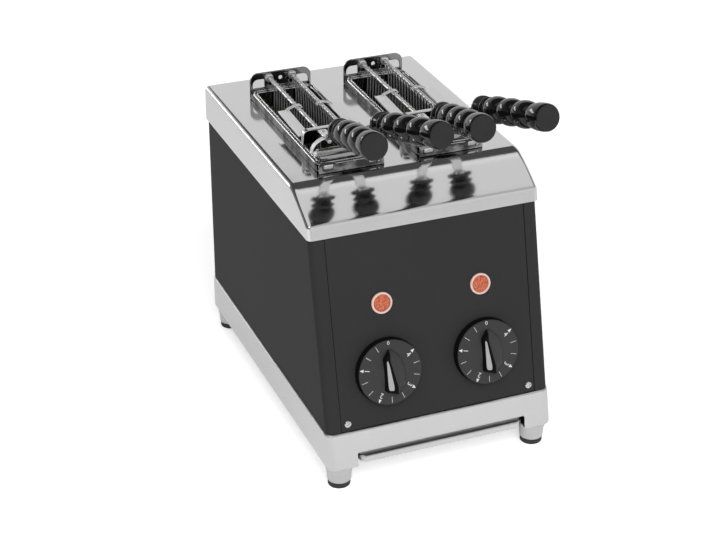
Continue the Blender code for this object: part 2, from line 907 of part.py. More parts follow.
def make_end_plates(name, tongs):
    """The tall rear plate with windows and eyelet, and the low front plate with ears."""
    half = carrier_half_width
    upright = (math.radians(90), 0.0, 0.0)
    top = rear_plate_height
    outline = [(-half, 0.0), (half, 0.0)]
    outline += arc_points(half - rear_plate_corner, top - rear_plate_corner, rear_plate_corner, 0, 90)
    outline += arc_points(rear_plate_corner - half, top - rear_plate_corner, rear_plate_corner, 90, 180)
    holes = [circle_points(0.0, eyelet_up, eyelet_radius)]
    for side in (-1, 1):
        holes.append(circle_points(side * rod_offset, rod_up, rod_hole_radius))
        near = side * (half - window_edge)
        far = side * (rod_offset + window_rod_gap)
        holes.append([
            (near, window_base),
            (far, window_base),
            (far, window_base + window_height),
            (near, window_base + window_height),
        ])
    outline_plate(
        name + "rear_plate", "chrome", tongs, [outline] + holes, plate_thickness,
        (0.0, carrier_rear + gap + plate_thickness / 2, 0.0), upright,
    )

    low, ear = front_plate_height, ear_height
    outline = [(-half, 0.0), (half, 0.0)]
    outline += arc_points(half - ear_corner, ear - ear_corner, ear_corner, 0, 90)
    outline += [(half - ear_width, low), (ear_width - half, low)]
    outline += arc_points(ear_corner - half, ear - ear_corner, ear_corner, 90, 180)
    holes = []
    for side in (-1, 1):
        near = side * (half - window_edge)
        far = side * (half - window_edge - front_window_width)
        holes.append([
            (near, front_window_base),
            (far, front_window_base),
            (far, front_window_base + front_window_height),
            (near, front_window_base + front_window_height),
        ])
    outline_plate(
        name + "front_plate", "chrome", tongs, [outline] + holes, plate_thickness,
        (0.0, carrier_front - gap - plate_thickness / 2, 0.0), upright,
    )


def make_bridge(name, tongs):
    """The cross piece that carries the front ends of both rods."""
    low = carrier_height + gap
    bridge = box(
        name + "bridge", "chrome", tongs,
        (-bridge_half_width, bridge_y, low),
        (bridge_half_width, bridge_y + bridge_thickness, bridge_top),
    )
    half = bridge_half_width - bridge_flange_inset
    middle = bridge_y + bridge_thickness / 2
    flange = box(
        name + "flange", None, tongs,
        (-half, middle - bridge_flange_depth, bridge_top - bridge_thickness),
        (half, middle, bridge_top + gap),
    )
    join(bridge, flange)
    for side in (-1, 1):
        hole = cylinder(
            name + "rod_hole" + str(side), None, tongs, rod_hole_radius, bridge_flange_depth,
            (side * rod_offset, bridge_y, rod_up), (math.radians(90), 0.0, 0.0), 16,
        )
        cut(bridge, hole)


def make_jaw(name, tongs, jaw, side):
    """One jaw: rod and wire grid below, bent arm and ribbed grip above, turning on the rod."""
    pivot = add_empty(name + "axis_" + jaw, tongs, (side * rod_offset, 0.0, rod_up))
    grid = name + "grid_" + jaw
    bars = [[(0.0, rod_front, 0.0), (0.0, rod_rear, 0.0)]]
    rod_mesh = tube_mesh(grid, bars, rod_radius, 2)
    rod = add_object(grid, rod_mesh, "chrome", pivot)
    wires = []
    for count in range(grid_wires):
        along = grid_front + (grid_rear - grid_front) * count / (grid_wires - 1)
        wires.append([
            (0.0, along, 0.0),
            (0.0, along, -grid_depth),
            (-side * grid_hook, along, -grid_depth),
        ])
    wire_mesh = tube_mesh(grid + "_wires", wires, wire_radius)
    join(rod, add_object(grid + "_wires", wire_mesh, None, pivot))
    rails = []
    for count in range(grid_bars):
        height = -grid_depth * (count + 1) / grid_bars + grid_toe
        across = side * bar_offset
        rails.append([
            (across, grid_front - bar_overhang, height),
            (across, grid_rear + bar_overhang, height),
        ])
    rail_mesh = tube_mesh(grid + "_bars", rails, wire_radius)
    join(rod, add_object(grid + "_bars", rail_mesh, None, pivot))
    make_arm_and_grip(name, pivot, jaw, side)


def make_arm_and_grip(name, pivot, jaw, side):
    """The flat cranked arm on the rod's front end and the grip that it carries."""
    neck = Vector((side * (grip_neck_out - rod_offset), grip_neck_y, grip_neck_up - rod_up))
    end = Vector((side * (grip_end_out - rod_offset), grip_end_y, grip_end_up - rod_up))
    direction = (end - neck).normalized()
    seat = rod_radius + gap + arm_thickness / 2
    spine = (
        Vector((0.0, arm_rear, seat)),
        Vector((0.0, arm_bend, seat)),
        neck - direction * arm_tail,
        neck - direction * (gap + abs(direction.x) * arm_width / 2),
    )
    bm = bmesh.new()
    rows = []
    for place in spine:
        pair = [bm.verts.new(place + Vector((hand * arm_width / 2, 0.0, 0.0))) for hand in (-1, 1)]
        rows.append(pair)
    for first, second in zip(rows, rows[1:]):
        bm.faces.new((first[0], first[1], second[1], second[0]))
    arm = add_object(name + "arm_" + jaw, mesh_of(name + "arm_" + jaw, bm), "chrome", pivot)
    thicken = arm.modifiers.new("Strap", "SOLIDIFY")
    thicken.thickness = arm_thickness
    thicken.offset = 0.0
    thicken.use_even_offset = True

    length = (end - neck).length
    profile = [
        (0.0, 0.0),
        (grip_flange_radius, 0.0),
        (grip_flange_radius, length * grip_flange_share),
        (grip_neck_radius, length * grip_neck_start_share),
        (grip_groove_radius, length * grip_ring_share),
        (grip_neck_radius, length * grip_neck_end_share),
    ]
    rib_length = length * (grip_ribs_end_share - grip_ribs_start_share) / grip_ribs
    for rib in range(grip_ribs):
        start = length * grip_ribs_start_share + rib * rib_length
        for step in range(grip_rib_steps):
            swell = math.sin(math.pi * step / grip_rib_steps)
            radius = grip_groove_radius + (grip_radius - grip_groove_radius) * swell
            profile.append((radius, start + rib_length * step / grip_rib_steps))
    profile += [
        (grip_groove_radius, length * grip_ribs_end_share),
        (grip_shoulder_radius, length * grip_shoulder_share),
        (grip_radius, length * grip_bulb_share),
        (grip_radius, length - grip_cap_edge),
        (grip_cap_radius, length),
        (0.0, length),
    ]
    turn = direction.to_track_quat("Z", "Y").to_euler()
    turned(
        name + "grip_" + jaw, "bakelite", pivot, profile[::-1], neck, turn, grip_turn_steps
    )


def make_spring(name, tongs, jaw, side):
    """The flat closing spring from the bridge, with the wire clip that crosses the rod."""
    spring = box(
        name + "spring_" + jaw, "chrome", tongs,
        (side * spring_offset - spring_width / 2, bridge_y + bridge_thickness + gap, spring_up),
        (side * spring_offset + spring_width / 2, spring_rear, spring_up + spring_thickness),
    )
    above = rod_up + rod_radius + gap + clip_radius
    clip_y = spring_rear - clip_inset
    path = [
        (side * spring_offset, clip_y, spring_up + spring_thickness / 2),
        (side * spring_offset, clip_y, above),
        (side * (rod_offset - clip_reach), clip_y, above),
    ]
    clip_mesh = tube_mesh(name + "clip_" + jaw, [path], clip_radius)
    join(spring, add_object(name + "clip_" + jaw, clip_mesh, None, tongs))


def centre_on_origin():
    """Moves the toaster so that its bounding box is centred on the origin in X and Y."""
    bpy.context.view_layer.update()
    graph = bpy.context.evaluated_depsgraph_get()
    lows, highs = [], []
    for thing in toaster.objects:
        if thing.type == "EMPTY":
            continue
        evaluated = thing.evaluated_get(graph)
        mesh = evaluated.to_mesh()
        places = [(evaluated.matrix_world @ vert.co).y for vert in mesh.vertices]
        lows.append(min(places))
        highs.append(max(places))
        evaluated.to_mesh_clear()
    root.location.y = -(min(lows) + max(highs)) / 2


for old in list(bpy.data.objects):
    bpy.data.objects.remove(old)
toaster = bpy.data.collections.new("sandwich_toaster")
cutters = bpy.data.collections.new("cutters")
bpy.context.scene.collection.children.link(toaster)
bpy.context.scene.collection.children.link(cutters)
cutters.hide_render = True

root = add_empty("toaster_origin", None)
panel_plane = add_empty("panel_plane", root, (0.0, 0.0, base_top), (-panel_lean, 0.0, 0.0))

make_feet()
make_base()
make_tray()
make_body()
make_cover()
make_controls()
make_gland()
make_heaters()
make_tongs("left", -slot_pitch / 2)
make_tongs("right", slot_pitch / 2)
centre_on_origin()
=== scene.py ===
import math

import bmesh
import bpy
from mathutils import Matrix, Vector


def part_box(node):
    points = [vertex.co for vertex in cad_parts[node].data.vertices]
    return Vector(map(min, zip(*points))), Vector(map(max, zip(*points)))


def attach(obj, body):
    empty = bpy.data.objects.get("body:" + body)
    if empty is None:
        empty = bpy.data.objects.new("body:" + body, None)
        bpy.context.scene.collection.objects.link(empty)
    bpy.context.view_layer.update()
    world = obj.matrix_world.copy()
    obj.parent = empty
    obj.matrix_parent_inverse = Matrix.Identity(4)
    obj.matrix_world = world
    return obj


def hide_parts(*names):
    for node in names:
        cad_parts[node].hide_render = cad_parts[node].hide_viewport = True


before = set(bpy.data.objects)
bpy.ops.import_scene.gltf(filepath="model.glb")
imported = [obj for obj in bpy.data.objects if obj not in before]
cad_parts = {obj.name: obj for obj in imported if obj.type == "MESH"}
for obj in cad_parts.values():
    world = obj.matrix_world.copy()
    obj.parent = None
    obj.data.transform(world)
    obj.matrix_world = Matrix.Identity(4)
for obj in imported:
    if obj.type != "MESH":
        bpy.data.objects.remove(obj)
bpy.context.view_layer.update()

scene = bpy.context.scene
quarter = math.radians(90)
lean = math.radians(13)
baseTop = 0.0564
bodyInset = 0.0015
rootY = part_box("left_tongs_carrier")[0].y - 0.0985  # front line of the base's top edge
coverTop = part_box("top_cover")[1].z
panelFrame = Matrix.Translation((0, rootY, baseTop)) @ Matrix.Rotation(-lean, 4, "X")
hands = (("left", -1), ("right", 1))


# shader maths
class Wire:
    def __init__(self, tree, socket):
        self.tree = tree
        self.socket = socket

    def maths(self, operation, first, second):
        node = self.tree.nodes.new("ShaderNodeMath")
        node.operation = operation
        plug(self.tree, node.inputs[0], first)
        plug(self.tree, node.inputs[1], second)
        return Wire(self.tree, node.outputs[0])

    def __add__(self, other):
        return self.maths("ADD", self, other)

    def __sub__(self, other):
        return self.maths("SUBTRACT", self, other)

    def __rsub__(self, other):
        return self.maths("SUBTRACT", other, self)

    def __mul__(self, other):
        return self.maths("MULTIPLY", self, other)

    __radd__ = __add__
    __rmul__ = __mul__


def plug(tree, socket, value):
    if isinstance(value, Wire):
        tree.links.new(value.socket, socket)
    else:
        socket.default_value = value


class Shader:
    def __init__(self, tree):
        self.tree = tree

    def node(self, kind, settings=None, inputs=None, output=0):
        node = self.tree.nodes.new("ShaderNode" + kind)
        for key, value in (settings or {}).items():
            if key == "stops":
                ramp = node.color_ramp.elements
                while len(ramp) < len(value):
                    ramp.new(1.0)
                for stop, (place, shade) in zip(ramp, value):
                    stop.position = place
                    stop.color = shade if len(shade) == 4 else (*shade, 1)
            else:
                setattr(node, key, value)
        for key, value in (inputs or {}).items():
            plug(self.tree, node.inputs[key], value)
        return Wire(self.tree, node.outputs[output])

    def place(self, stretch=(1, 1, 1)):
        here = self.node("TexCoord", output="Object")
        return self.node("Mapping", inputs={"Vector": here, "Scale": stretch})

    def noise(self, scale, detail=3, stretch=(1, 1, 1), rough=0.5):
        return self.node("TexNoise", inputs={
            "Vector": self.place(stretch), "Scale": scale, "Detail": detail, "Roughness": rough})

    def band(self, value, low, high, first=0.0, last=1.0):
        return self.node("MapRange", {"interpolation_type": "SMOOTHSTEP"}, {
            "Value": value, "From Min": low, "From Max": high, "To Min": first, "To Max": last})

    def mix(self, factor, first, second):
        return self.node("Mix", {"data_type": "RGBA"}, {
            "Factor": factor, 6: colour(first), 7: colour(second)}, 2)

    def bump(self, height, strength, distance=0.001, normal=None):
        inputs = {"Height": height, "Strength": strength, "Distance": distance}
        if normal:
            inputs["Normal"] = normal
        return self.node("Bump", inputs=inputs)


def colour(value):
    return value if isinstance(value, Wire) else (*value, 1)


def grey(level):
    return (level, level, level)


finishes = {}


def finish(name, recipe, **plain):
    material = bpy.data.materials.new(name)
    material.use_nodes = True
    shader = Shader(material.node_tree)
    principled = material.node_tree.nodes["Principled BSDF"]
    for key, value in plain.items():
        principled.inputs[key.replace("_", " ")].default_value = value
    for key, value in recipe(shader).items():
        plug(shader.tree, principled.inputs[key], value)
    finishes[name] = material
    return material


def sheetRecipe(bright, dark, rough, grain, wave, streak=(1, 1, 1), scale=900):
    def recipe(s):
        cloud = s.noise(14, 4)
        fine = s.noise(scale, 2, streak, 0.7)
        normal = s.bump(s.noise(26, 2), wave, 0.004)
        return {
            "Base Color": s.mix(cloud * 0.6 + fine * 0.4, grey(dark), grey(bright)),
            "Roughness": cloud * 0.04 + fine * grain + rough,
            "Normal": s.bump(fine, grain * 0.6, 0.0002, normal),
        }
    return recipe


def paintRecipe(tint, rough):
    def recipe(s):
        grain = s.noise(2600, 3, rough=0.65)
        cloud = s.noise(9, 3)
        dust = s.band(s.noise(900, 5, rough=0.7), 0.66, 0.74)
        shade = s.mix(cloud, tint, [c * 1.25 for c in tint])
        return {
            "Base Color": s.mix(dust * 0.12, shade, grey(0.22)),
            "Roughness": grain * 0.10 + cloud * 0.05 + rough,
            "Normal": s.bump(grain, 0.16, 0.00025),
        }
    return recipe


def wireRecipe(s):
    draw = s.noise(700, 3, (1, 0.12, 1))
    cloud = s.noise(60, 3)
    height = s.node("SeparateXYZ", inputs={0: s.place()}, output=2)
    lowerShare = s.band(height, coverTop + 0.012, coverTop - 0.022)  # darker and browner from just above the cover top downwards, where the wire hangs in the slot
    upperGrey = s.mix(cloud, grey(0.62), grey(0.80))
    lowerBrown = s.mix(cloud, (0.075, 0.062, 0.050), (0.16, 0.135, 0.11))
    return {
        "Base Color": s.mix(lowerShare, upperGrey, lowerBrown),
        "Roughness": draw * 0.10 + cloud * 0.05 + lowerShare * 0.15 + 0.07,
        "Normal": s.bump(draw, 0.10, 0.0002),
    }


def bakeliteRecipe(s):
    cloud = s.noise(35, 4)
    fleck = s.band(s.noise(1400, 2), 0.62, 0.70)
    return {
        "Base Color": s.mix(fleck * 0.25, grey(0.004), grey(0.014)),
        "Roughness": cloud * 0.05 + 0.07,
        "Normal": s.bump(s.noise(260, 3), 0.04, 0.0004),
    }


def capRecipe(s):
    grain = s.noise(1900, 3, rough=0.7)
    cloud = s.noise(70, 3)
    return {
        "Base Color": s.mix(cloud, grey(0.011), grey(0.018)),
        "Roughness": grain * 0.15 + 0.48,
        "Normal": s.bump(grain, 0.15, 0.0002),
    }


def rubberRecipe(s):
    cloud = s.noise(120, 4)
    return {
        "Base Color": s.mix(cloud, grey(0.014), grey(0.032)),
        "Roughness": cloud * 0.2 + 0.62,
        "Normal": s.bump(s.noise(1200, 2), 0.2, 0.0003),
    }


def lensRecipe(s):
    cells = s.node("TexVoronoi", {"feature": "F1"}, {"Vector": s.place(), "Scale": 620})
    glow = s.band(cells, 0.15, 0.75)
    cloud = s.noise(170, 2)
    tint = s.mix(glow, (0.50, 0.14, 0.065), (0.30, 0.050, 0.020))
    return {
        "Base Color": tint,
        "Emission Color": s.mix(cloud, (0.80, 0.10, 0.02), (1.0, 0.28, 0.08)),
        "Roughness": cloud * 0.1 + 0.16,
        "Normal": s.bump(glow, 0.35, 0.0006),
    }


def ringRecipe(s):
    cloud = s.noise(300, 3)
    return {
        "Base Color": s.mix(cloud, (0.50, 0.33, 0.29), (0.70, 0.52, 0.47)),
        "Roughness": cloud * 0.15 + 0.25,
        "Normal": s.bump(cloud, 0.08, 0.0003),
    }


def paleRecipe(s):
    cloud = s.noise(160, 3)
    return {
        "Base Color": s.mix(cloud, grey(0.27), grey(0.34)),
        "Roughness": cloud * 0.15 + 0.40,
        "Normal": s.bump(s.noise(1500, 2), 0.06, 0.0002),
    }


def printRecipe(s):
    cloud = s.noise(900, 3)
    return {"Base Color": s.mix(cloud, grey(0.50), grey(0.66)), "Roughness": cloud * 0.2 + 0.4}


def burntSheetRecipe(s):
    cloud = s.noise(22, 5)
    tide = s.noise(7, 3)
    return {
        "Base Color": s.mix(tide * 0.6 + cloud * 0.4, (0.11, 0.085, 0.065), (0.30, 0.28, 0.25)),
        "Roughness": cloud * 0.2 + 0.34,
        "Normal": s.bump(cloud, 0.08, 0.002),
    }


# dark and bright bands painted into the colour: painted reflections of the surroundings, with painted shade in
# the dark bands
def paintedReflectionRecipe(s):
    cloud = s.noise(95, 4, (0.45, 1, 1))
    reflectionBands = s.band(cloud, 0.42, 0.62)
    # the brighter bands are painted reflection, the darker ground is painted shade
    return {
        "Base Color": s.mix(reflectionBands, grey(0.05), grey(0.27)),
        "Roughness": cloud * 0.12 + 0.05,
        "Normal": s.bump(s.noise(30, 2), 0.12, 0.004),
    }


def elementRecipe(s):
    cloud = s.noise(80, 5)
    return {
        "Base Color": s.mix(cloud, (0.035, 0.032, 0.030), (0.11, 0.10, 0.09)),
        "Roughness": cloud * 0.25 + 0.45,
        "Normal": s.bump(s.noise(1500, 2), 0.15, 0.0003),
    }


finish("polishedSteel", sheetRecipe(0.73, 0.67, 0.055, 0.05, 0.03, (1, 0.06, 1), 700), Metallic=1.0)
finish("satinSteel", sheetRecipe(0.71, 0.61, 0.26, 0.14, 0.02, (0.05, 1, 1), 1300), Metallic=1.0)
finish("chromeSheet", sheetRecipe(0.70, 0.60, 0.05, 0.06, 0.03, (1, 1, 0.2), 500), Metallic=1.0)
finish("railChrome", sheetRecipe(0.66, 0.52, 0.06, 0.06, 0.03, (1, 0.1, 1), 900), Metallic=1.0)
# a darker copy of the chrome sheet: its lower brightness is painted shade standing in for dark reflections
finish("darkTongChrome", sheetRecipe(0.44, 0.30, 0.07, 0.08, 0.05, (1, 1, 0.2), 500), Metallic=1.0)
finish("reflectionPaintedSteel", paintedReflectionRecipe, Metallic=1.0)
finish("springStrip", sheetRecipe(0.82, 0.72, 0.38, 0.10, 0.02, (1, 0.1, 1), 900), Metallic=0.35)
finish("footMetal", sheetRecipe(0.62, 0.50, 0.24, 0.12, 0.02, (1, 1, 0.1), 900), Metallic=1.0)
finish("blackPaint", paintRecipe((0.0215, 0.0215, 0.022), 0.50), Specular_IOR_Level=0.12)
finish("dialPlastic", paintRecipe((0.022, 0.022, 0.0225), 0.34), Specular_IOR_Level=0.32)
# near-black finish used as painted shade on the dials' side walls and wing ridges
finish("dialShade", paintRecipe((0.004, 0.004, 0.004), 0.60), Specular_IOR_Level=0.05)
finish("rodSteel", sheetRecipe(0.80, 0.62, 0.20, 0.14, 0.03, (1, 0.1, 1), 900), Metallic=0.85)
finish("chromeWire", wireRecipe, Metallic=0.8)
finish("bakelite", bakeliteRecipe, IOR=1.46)
finish("capPlastic", capRecipe, Specular_IOR_Level=0.3)
finish("padRubber", rubberRecipe)
finish("lampLens", lensRecipe, Emission_Strength=0.05)
finish("lampRing", ringRecipe)
finish("palePlastic", paleRecipe)
finish("whitePrint", printRecipe)
finish("reflectorSheet", burntSheetRecipe, Metallic=0.9)
finish("elementTube", elementRecipe, Metallic=0.6)
print("finishes", len(finishes))


# mesh helpers
def meshOf(name, bm):
    bmesh.ops.remove_doubles(bm, verts=bm.verts, dist=1e-6)
    bmesh.ops.recalc_face_normals(bm, faces=bm.faces)
    mesh = bpy.data.meshes.new(name)
    bm.to_mesh(mesh)
    bm.free()
    return mesh


def settled(obj):  # the object's mesh with its modifiers in it
    graph = bpy.context.evaluated_depsgraph_get()
    mesh = bpy.data.meshes.new_from_object(obj.evaluated_get(graph))
    obj.modifiers.clear()
    return mesh


def piece(name, mesh, material, body, stands=(), edge=0.0, segments=2, angle=35, cutters=()):
    obj = bpy.data.objects.new(name, mesh)
    scene.collection.objects.link(obj)
    for cutter in cutters:
        boolean = obj.modifiers.new("cut", "BOOLEAN")
        boolean.operation = "DIFFERENCE"
        boolean.object = cutter
        boolean.solver = "EXACT"
    if edge:
        bevel = obj.modifiers.new("edge", "BEVEL")
        bevel.width = edge
        bevel.segments = segments
        bevel.limit_method = "ANGLE"
        bevel.angle_limit = math.radians(angle)
    if obj.modifiers:
        obj.data = settled(obj)
    for cutter in cutters:
        bpy.data.objects.remove(cutter)
    obj.data.polygons.foreach_set("use_smooth", [True] * len(obj.data.polygons))
    obj.data.set_sharp_from_angle(angle=math.radians(angle))
    weighted = obj.modifiers.new("normals", "WEIGHTED_NORMAL")
    weighted.keep_sharp = True
    obj.data = settled(obj)
    obj.data.name = name
    obj.data.materials.clear()
    obj.data.materials.append(finishes[material])
    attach(obj, body)
    if stands:
        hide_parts(*stands)
    return obj


def cutter(mesh):
    obj = bpy.data.objects.new("cutter", mesh)
    scene.collection.objects.link(obj)
    return obj


def loftInto(bm, rings, capped=True, closed=True):
    rows = [[bm.verts.new(point) for point in ring] for ring in rings]
    count = len(rows[0])
    for lower, upper in zip(rows, rows[1:]):
        for i in range(count if closed else count - 1):
            j = (i + 1) % count
            bm.faces.new((lower[i], lower[j], upper[j], upper[i]))
    if capped:
        bm.faces.new(rows[0])
        bm.faces.new(rows[-1])
    return rows


def loft(name, rings, capped=True):
    bm = bmesh.new()
    loftInto(bm, rings, capped)
    return meshOf(name, bm)


def lathe(name, profile, matrix, steps=48):
    bm = bmesh.new()
    rows = []
    for radius, height in profile:
        if radius < 1e-7:
            rows.append([bm.verts.new(matrix @ Vector((0, 0, height)))])
            continue
        ring = []
        for step in range(steps):
            turn = 2 * math.pi * step / steps
            spot = Vector((radius * math.cos(turn), radius * math.sin(turn), height))
            ring.append(bm.verts.new(matrix @ spot))
        rows.append(ring)
    for lower, upper in zip(rows, rows[1:]):
        for i in range(steps):
            j = (i + 1) % steps
            corners = [lower[i % len(lower)], lower[j % len(lower)], upper[j % len(upper)],
                       upper[i % len(upper)]]
            corners = list(dict.fromkeys(corners))
            if len(corners) > 2:
                bm.faces.new(corners)
    return meshOf(name, bm)


def quarterSteps(count):
    return [quarter * i / count for i in range(count + 1)]


def arc(centreA, centreB, radius, start, end, steps):
    turns = [math.radians(start + (end - start) * i / steps) for i in range(steps + 1)]
    return [(centreA + radius * math.cos(t), centreB + radius * math.sin(t)) for t in turns]


def roundPlan(half, front, rear, radius, steps=6, lift=0.0):
    points = []
    for x, y, start in (
        (half - radius, front + radius, -90), (half - radius, rear - radius, 0),
        (radius - half, rear - radius, 90), (radius - half, front + radius, 180),
    ):
        points += [(px, py + (lift if y < (front + rear) / 2 else 0))
                   for px, py in arc(x, y, radius, start, start + 90, steps)]
    return points


def roundBox(low, high, radius, steps=4):  # a block with rounded upright edges
    half = (high[0] - low[0]) / 2
    middle = (high[0] + low[0]) / 2
    plan = roundPlan(half, low[1], high[1], radius, steps)
    return [[(x + middle, y, z) for x, y in plan] for z in (low[2], high[2])]


def filleted(points, radius, steps=5):
    points = [Vector(p) for p in points]
    path = [points[0]]
    for before, here, after in zip(points, points[1:], points[2:]):
        back, on = (before - here), (after - here)
        reach = min(radius, back.length * 0.49, on.length * 0.49)
        start, end = here + back.normalized() * reach, here + on.normalized() * reach
        for i in range(steps + 1):
            t = i / steps
            path.append(start * (1 - t) ** 2 + here * 2 * t * (1 - t) + end * t * t)
    path.append(points[-1])
    return path


def tubes(name, paths, radius, resolution=2):
    curve = bpy.data.curves.new(name, "CURVE")
    curve.dimensions = "3D"
    curve.bevel_depth = radius
    curve.bevel_resolution = resolution
    curve.use_fill_caps = True
    for path in paths:
        spline = curve.splines.new("POLY")
        spline.points.add(len(path) - 1)
        for point, place in zip(spline.points, path):
            point.co = (*place, 1)
    return curveMesh(name, curve)


def curveMesh(name, curve, matrix=None):
    obj = bpy.data.objects.new(name, curve)
    scene.collection.objects.link(obj)
    graph = bpy.context.evaluated_depsgraph_get()
    mesh = bpy.data.meshes.new_from_object(obj.evaluated_get(graph))
    bpy.data.objects.remove(obj)
    bm = bmesh.new()
    bm.from_mesh(mesh)
    if matrix:
        bm.transform(matrix)
    return meshOf(name, bm)


def plate(name, outlines, thickness, matrix, edge=0.0003):  # a flat plate, later outlines are holes
    curve = bpy.data.curves.new(name, "CURVE")
    curve.dimensions = "2D"
    curve.fill_mode = "BOTH"
    curve.extrude = thickness / 2 - edge
    curve.bevel_depth = edge
    curve.bevel_resolution = 1
    curve.offset = -edge
    for outline in outlines:
        spline = curve.splines.new("POLY")
        spline.points.add(len(outline) - 1)
        for point, (x, y) in zip(spline.points, outline):
            point.co = (x, y, 0, 1)
        spline.use_cyclic_u = True
    return curveMesh(name, curve, matrix)


def joined(name, meshes):
    bm = bmesh.new()
    for mesh in meshes:
        bm.from_mesh(mesh)
    return meshOf(name, bm)


def strap(name, spine, sides, thickness, roundness=0.35):
    # a flat bar along a spine; sides are its half-width vectors at each spine point
    bm = bmesh.new()
    rings = []
    for i, point in enumerate(spine):
        ahead = spine[min(i + 1, len(spine) - 1)] - spine[max(i - 1, 0)]
        side = sides[i] if isinstance(sides, list) else sides
        up = ahead.cross(side).normalized() * thickness / 2
        ring = []
        for corner, (a, b) in enumerate(((1, 1), (-1, 1), (-1, -1), (1, -1))):
            for part in range(4):
                turn = math.radians(corner * 90 + part * 30)
                soft = roundness * thickness
                inX = side.length - soft
                across = a * inX + soft * math.cos(turn)
                along = b * (thickness / 2 - soft) + soft * math.sin(turn)
                ring.append(point + side.normalized() * across + up.normalized() * along)
        rings.append(ring)
    loftInto(bm, rings)
    return meshOf(name, bm)


def ringSweep(name, section, half, front, rear, radius, z0, steps=6):
    # a closed section (outwards, up) carried round a rounded rectangle
    rings = []
    for out, up in section + section[:1]:
        plan = roundPlan(half + out, front - out, rear + out, max(radius + out, 0.0004), steps)
        rings.append([(x, y, z0 + up) for x, y in plan])
    return loft(name, rings, capped=False)


def frontY(z, inset=0.0):
    return rootY + (z - baseTop) * math.tan(lean) + inset / math.cos(lean)


def onPanel(across, depth, up):  # x stays, y goes up the slope, z points out of it
    return panelFrame @ Matrix.Translation((across, depth, up)) @ Matrix.Rotation(quarter, 4, "X")


# feet
feet = {"topRadius": 0.0128, "footRadius": 0.0110, "height": 0.0168, "edge": 0.0012, "padRadius": 0.0105}
for row in ("front", "rear"):
    for hand, side in hands:
        low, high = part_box("foot_" + row + "_" + hand)
        spot = Matrix.Translation(((low.x + high.x) / 2, (low.y + high.y) / 2, low.z))
        h, e, top, foot = feet["height"], feet["edge"], feet["topRadius"], feet["footRadius"]
        profile = [(0, h), (top - e, h)] + arc(top - e, h - e, e, 90, 0, 4)
        profile += [(top - 0.0003, h * 0.72), (top - 0.0009, h * 0.70), (top - 0.0010, h * 0.64)]
        profile += [(foot + 0.0002, e * 1.4)] + arc(foot - e, e, e, 0, -90, 4)
        profile += [(0, 0)]
        piece("foot_" + row + "_" + hand + "_turned", lathe("foot", profile, spot), "footMetal",
              "housing", ["foot_" + row + "_" + hand])
        low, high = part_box("foot_pad_" + row + "_" + hand)
        spot.translation.z = low.z
        h, r = high.z - low.z, feet["padRadius"]
        profile = [(0, h), (r, h), (r, e)] + arc(r - e, e, e, 0, -90, 4) + [(0, 0)]
        piece("pad_" + row + "_" + hand + "_turned", lathe("pad", profile, spot), "padRubber",
              "housing", ["foot_pad_" + row + "_" + hand])
print("feet made")

# base band, crumb tray
base = {"half": 0.1125, "rear": 0.3365, "corner": 0.009, "bend": 0.0016, "wall": 0.0015, "ledge": 0.022,
        "notchHalf": 0.0842, "notchHeight": 0.0136, "notchCorner": 0.0016}
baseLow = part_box("base_frame")[0].z


def basePlan(inset, z):
    front = frontY(baseLow, inset)
    return [(x, y, z) for x, y in roundPlan(
        base["half"] - inset, front, rootY + base["rear"] - inset,
        max(base["corner"] - inset, 0.0006), 10, frontY(z) - frontY(baseLow))]


def baseBand():
    b, w, d = base["bend"], base["wall"], base["ledge"]
    section = [(d, baseLow)] + [(b - b * math.sin(t), baseLow + b - b * math.cos(t)) for t in quarterSteps(4)]
    section += [(b - b * math.cos(t), baseTop - b + b * math.sin(t)) for t in quarterSteps(4)]
    section += [(d, baseTop), (d, baseTop - w), (w, baseTop - w), (w, baseLow + w), (d, baseLow + w)]
    rings = [basePlan(inset, z) for inset, z in section + section[:1]]
    frontLow = frontY(baseLow)
    n, h, r = base["notchHalf"], base["notchHeight"], base["notchCorner"]
    outline = [(-n, -0.004), (n, -0.004)] + arc(n - r, h - r, r, 0, 90, 4) + arc(r - n, h - r, r, 90, 180, 4)
    away = Matrix.Translation((0, frontLow + 0.012, baseLow)) @ Matrix.Rotation(quarter, 4, "X")
    notch = cutter(plate("notch", [outline], 0.060, away, 0.0))
    return piece("base_band_folded", loft("base", rings, capped=False), "satinSteel", "housing",
                 ["base_frame"], cutters=[notch])


baseBand()
tray = {"wall": 0.0010, "lipHeight": 0.0066, "chamfer": 0.0045, "hem": 0.0015}


def crumbTray():
    low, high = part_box("crumb_tray")
    w = tray["wall"]
    panFront = low.y + 0.0075
    section = [(-w, w), (-w, high.z - low.z), (0, high.z - low.z), (0, 0), (-0.02, 0), (-0.02, w)]
    pan = ringSweep("pan", section, high.x, panFront, high.y, 0.002, low.z)
    floor = loft("floor", [[(x, y, low.z + t) for x, y in roundPlan(high.x - 0.018, panFront + 0.018,
                                                                    high.y - 0.018, 0.002)] for t in (0, w)])
    half, top, c = high.x - 0.0007, low.z + tray["lipHeight"], tray["chamfer"]
    plan = [(-half, panFront + w), (-half, low.y + c), (-half + c, low.y), (half - c, low.y), (half, low.y + c),
            (half, panFront + w)]
    rings = []
    hem = tray["hem"]
    for inset, z in [(hem - hem * math.sin(t), low.z + hem - hem * math.cos(t)) for t in quarterSteps(4)] + \
                    [(hem - hem * math.cos(t), top - hem + hem * math.sin(t)) for t in quarterSteps(4)]:
        rings.append([(x * (1 - inset / half), y + (inset if y < panFront else 0), z) for x, y in plan])
    lip = loft("lip", rings)
    return piece("crumb_tray_folded", joined("tray", [pan, floor, lip]), "satinSteel", "tray",
                 ["crumb_tray"])


crumbTray()
print("base and tray made")

# body
shell = {"half": 0.111, "rear": 0.335, "corner": 0.0065, "skin": 0.0010, "seam": 0.0973, "top": 0.189}


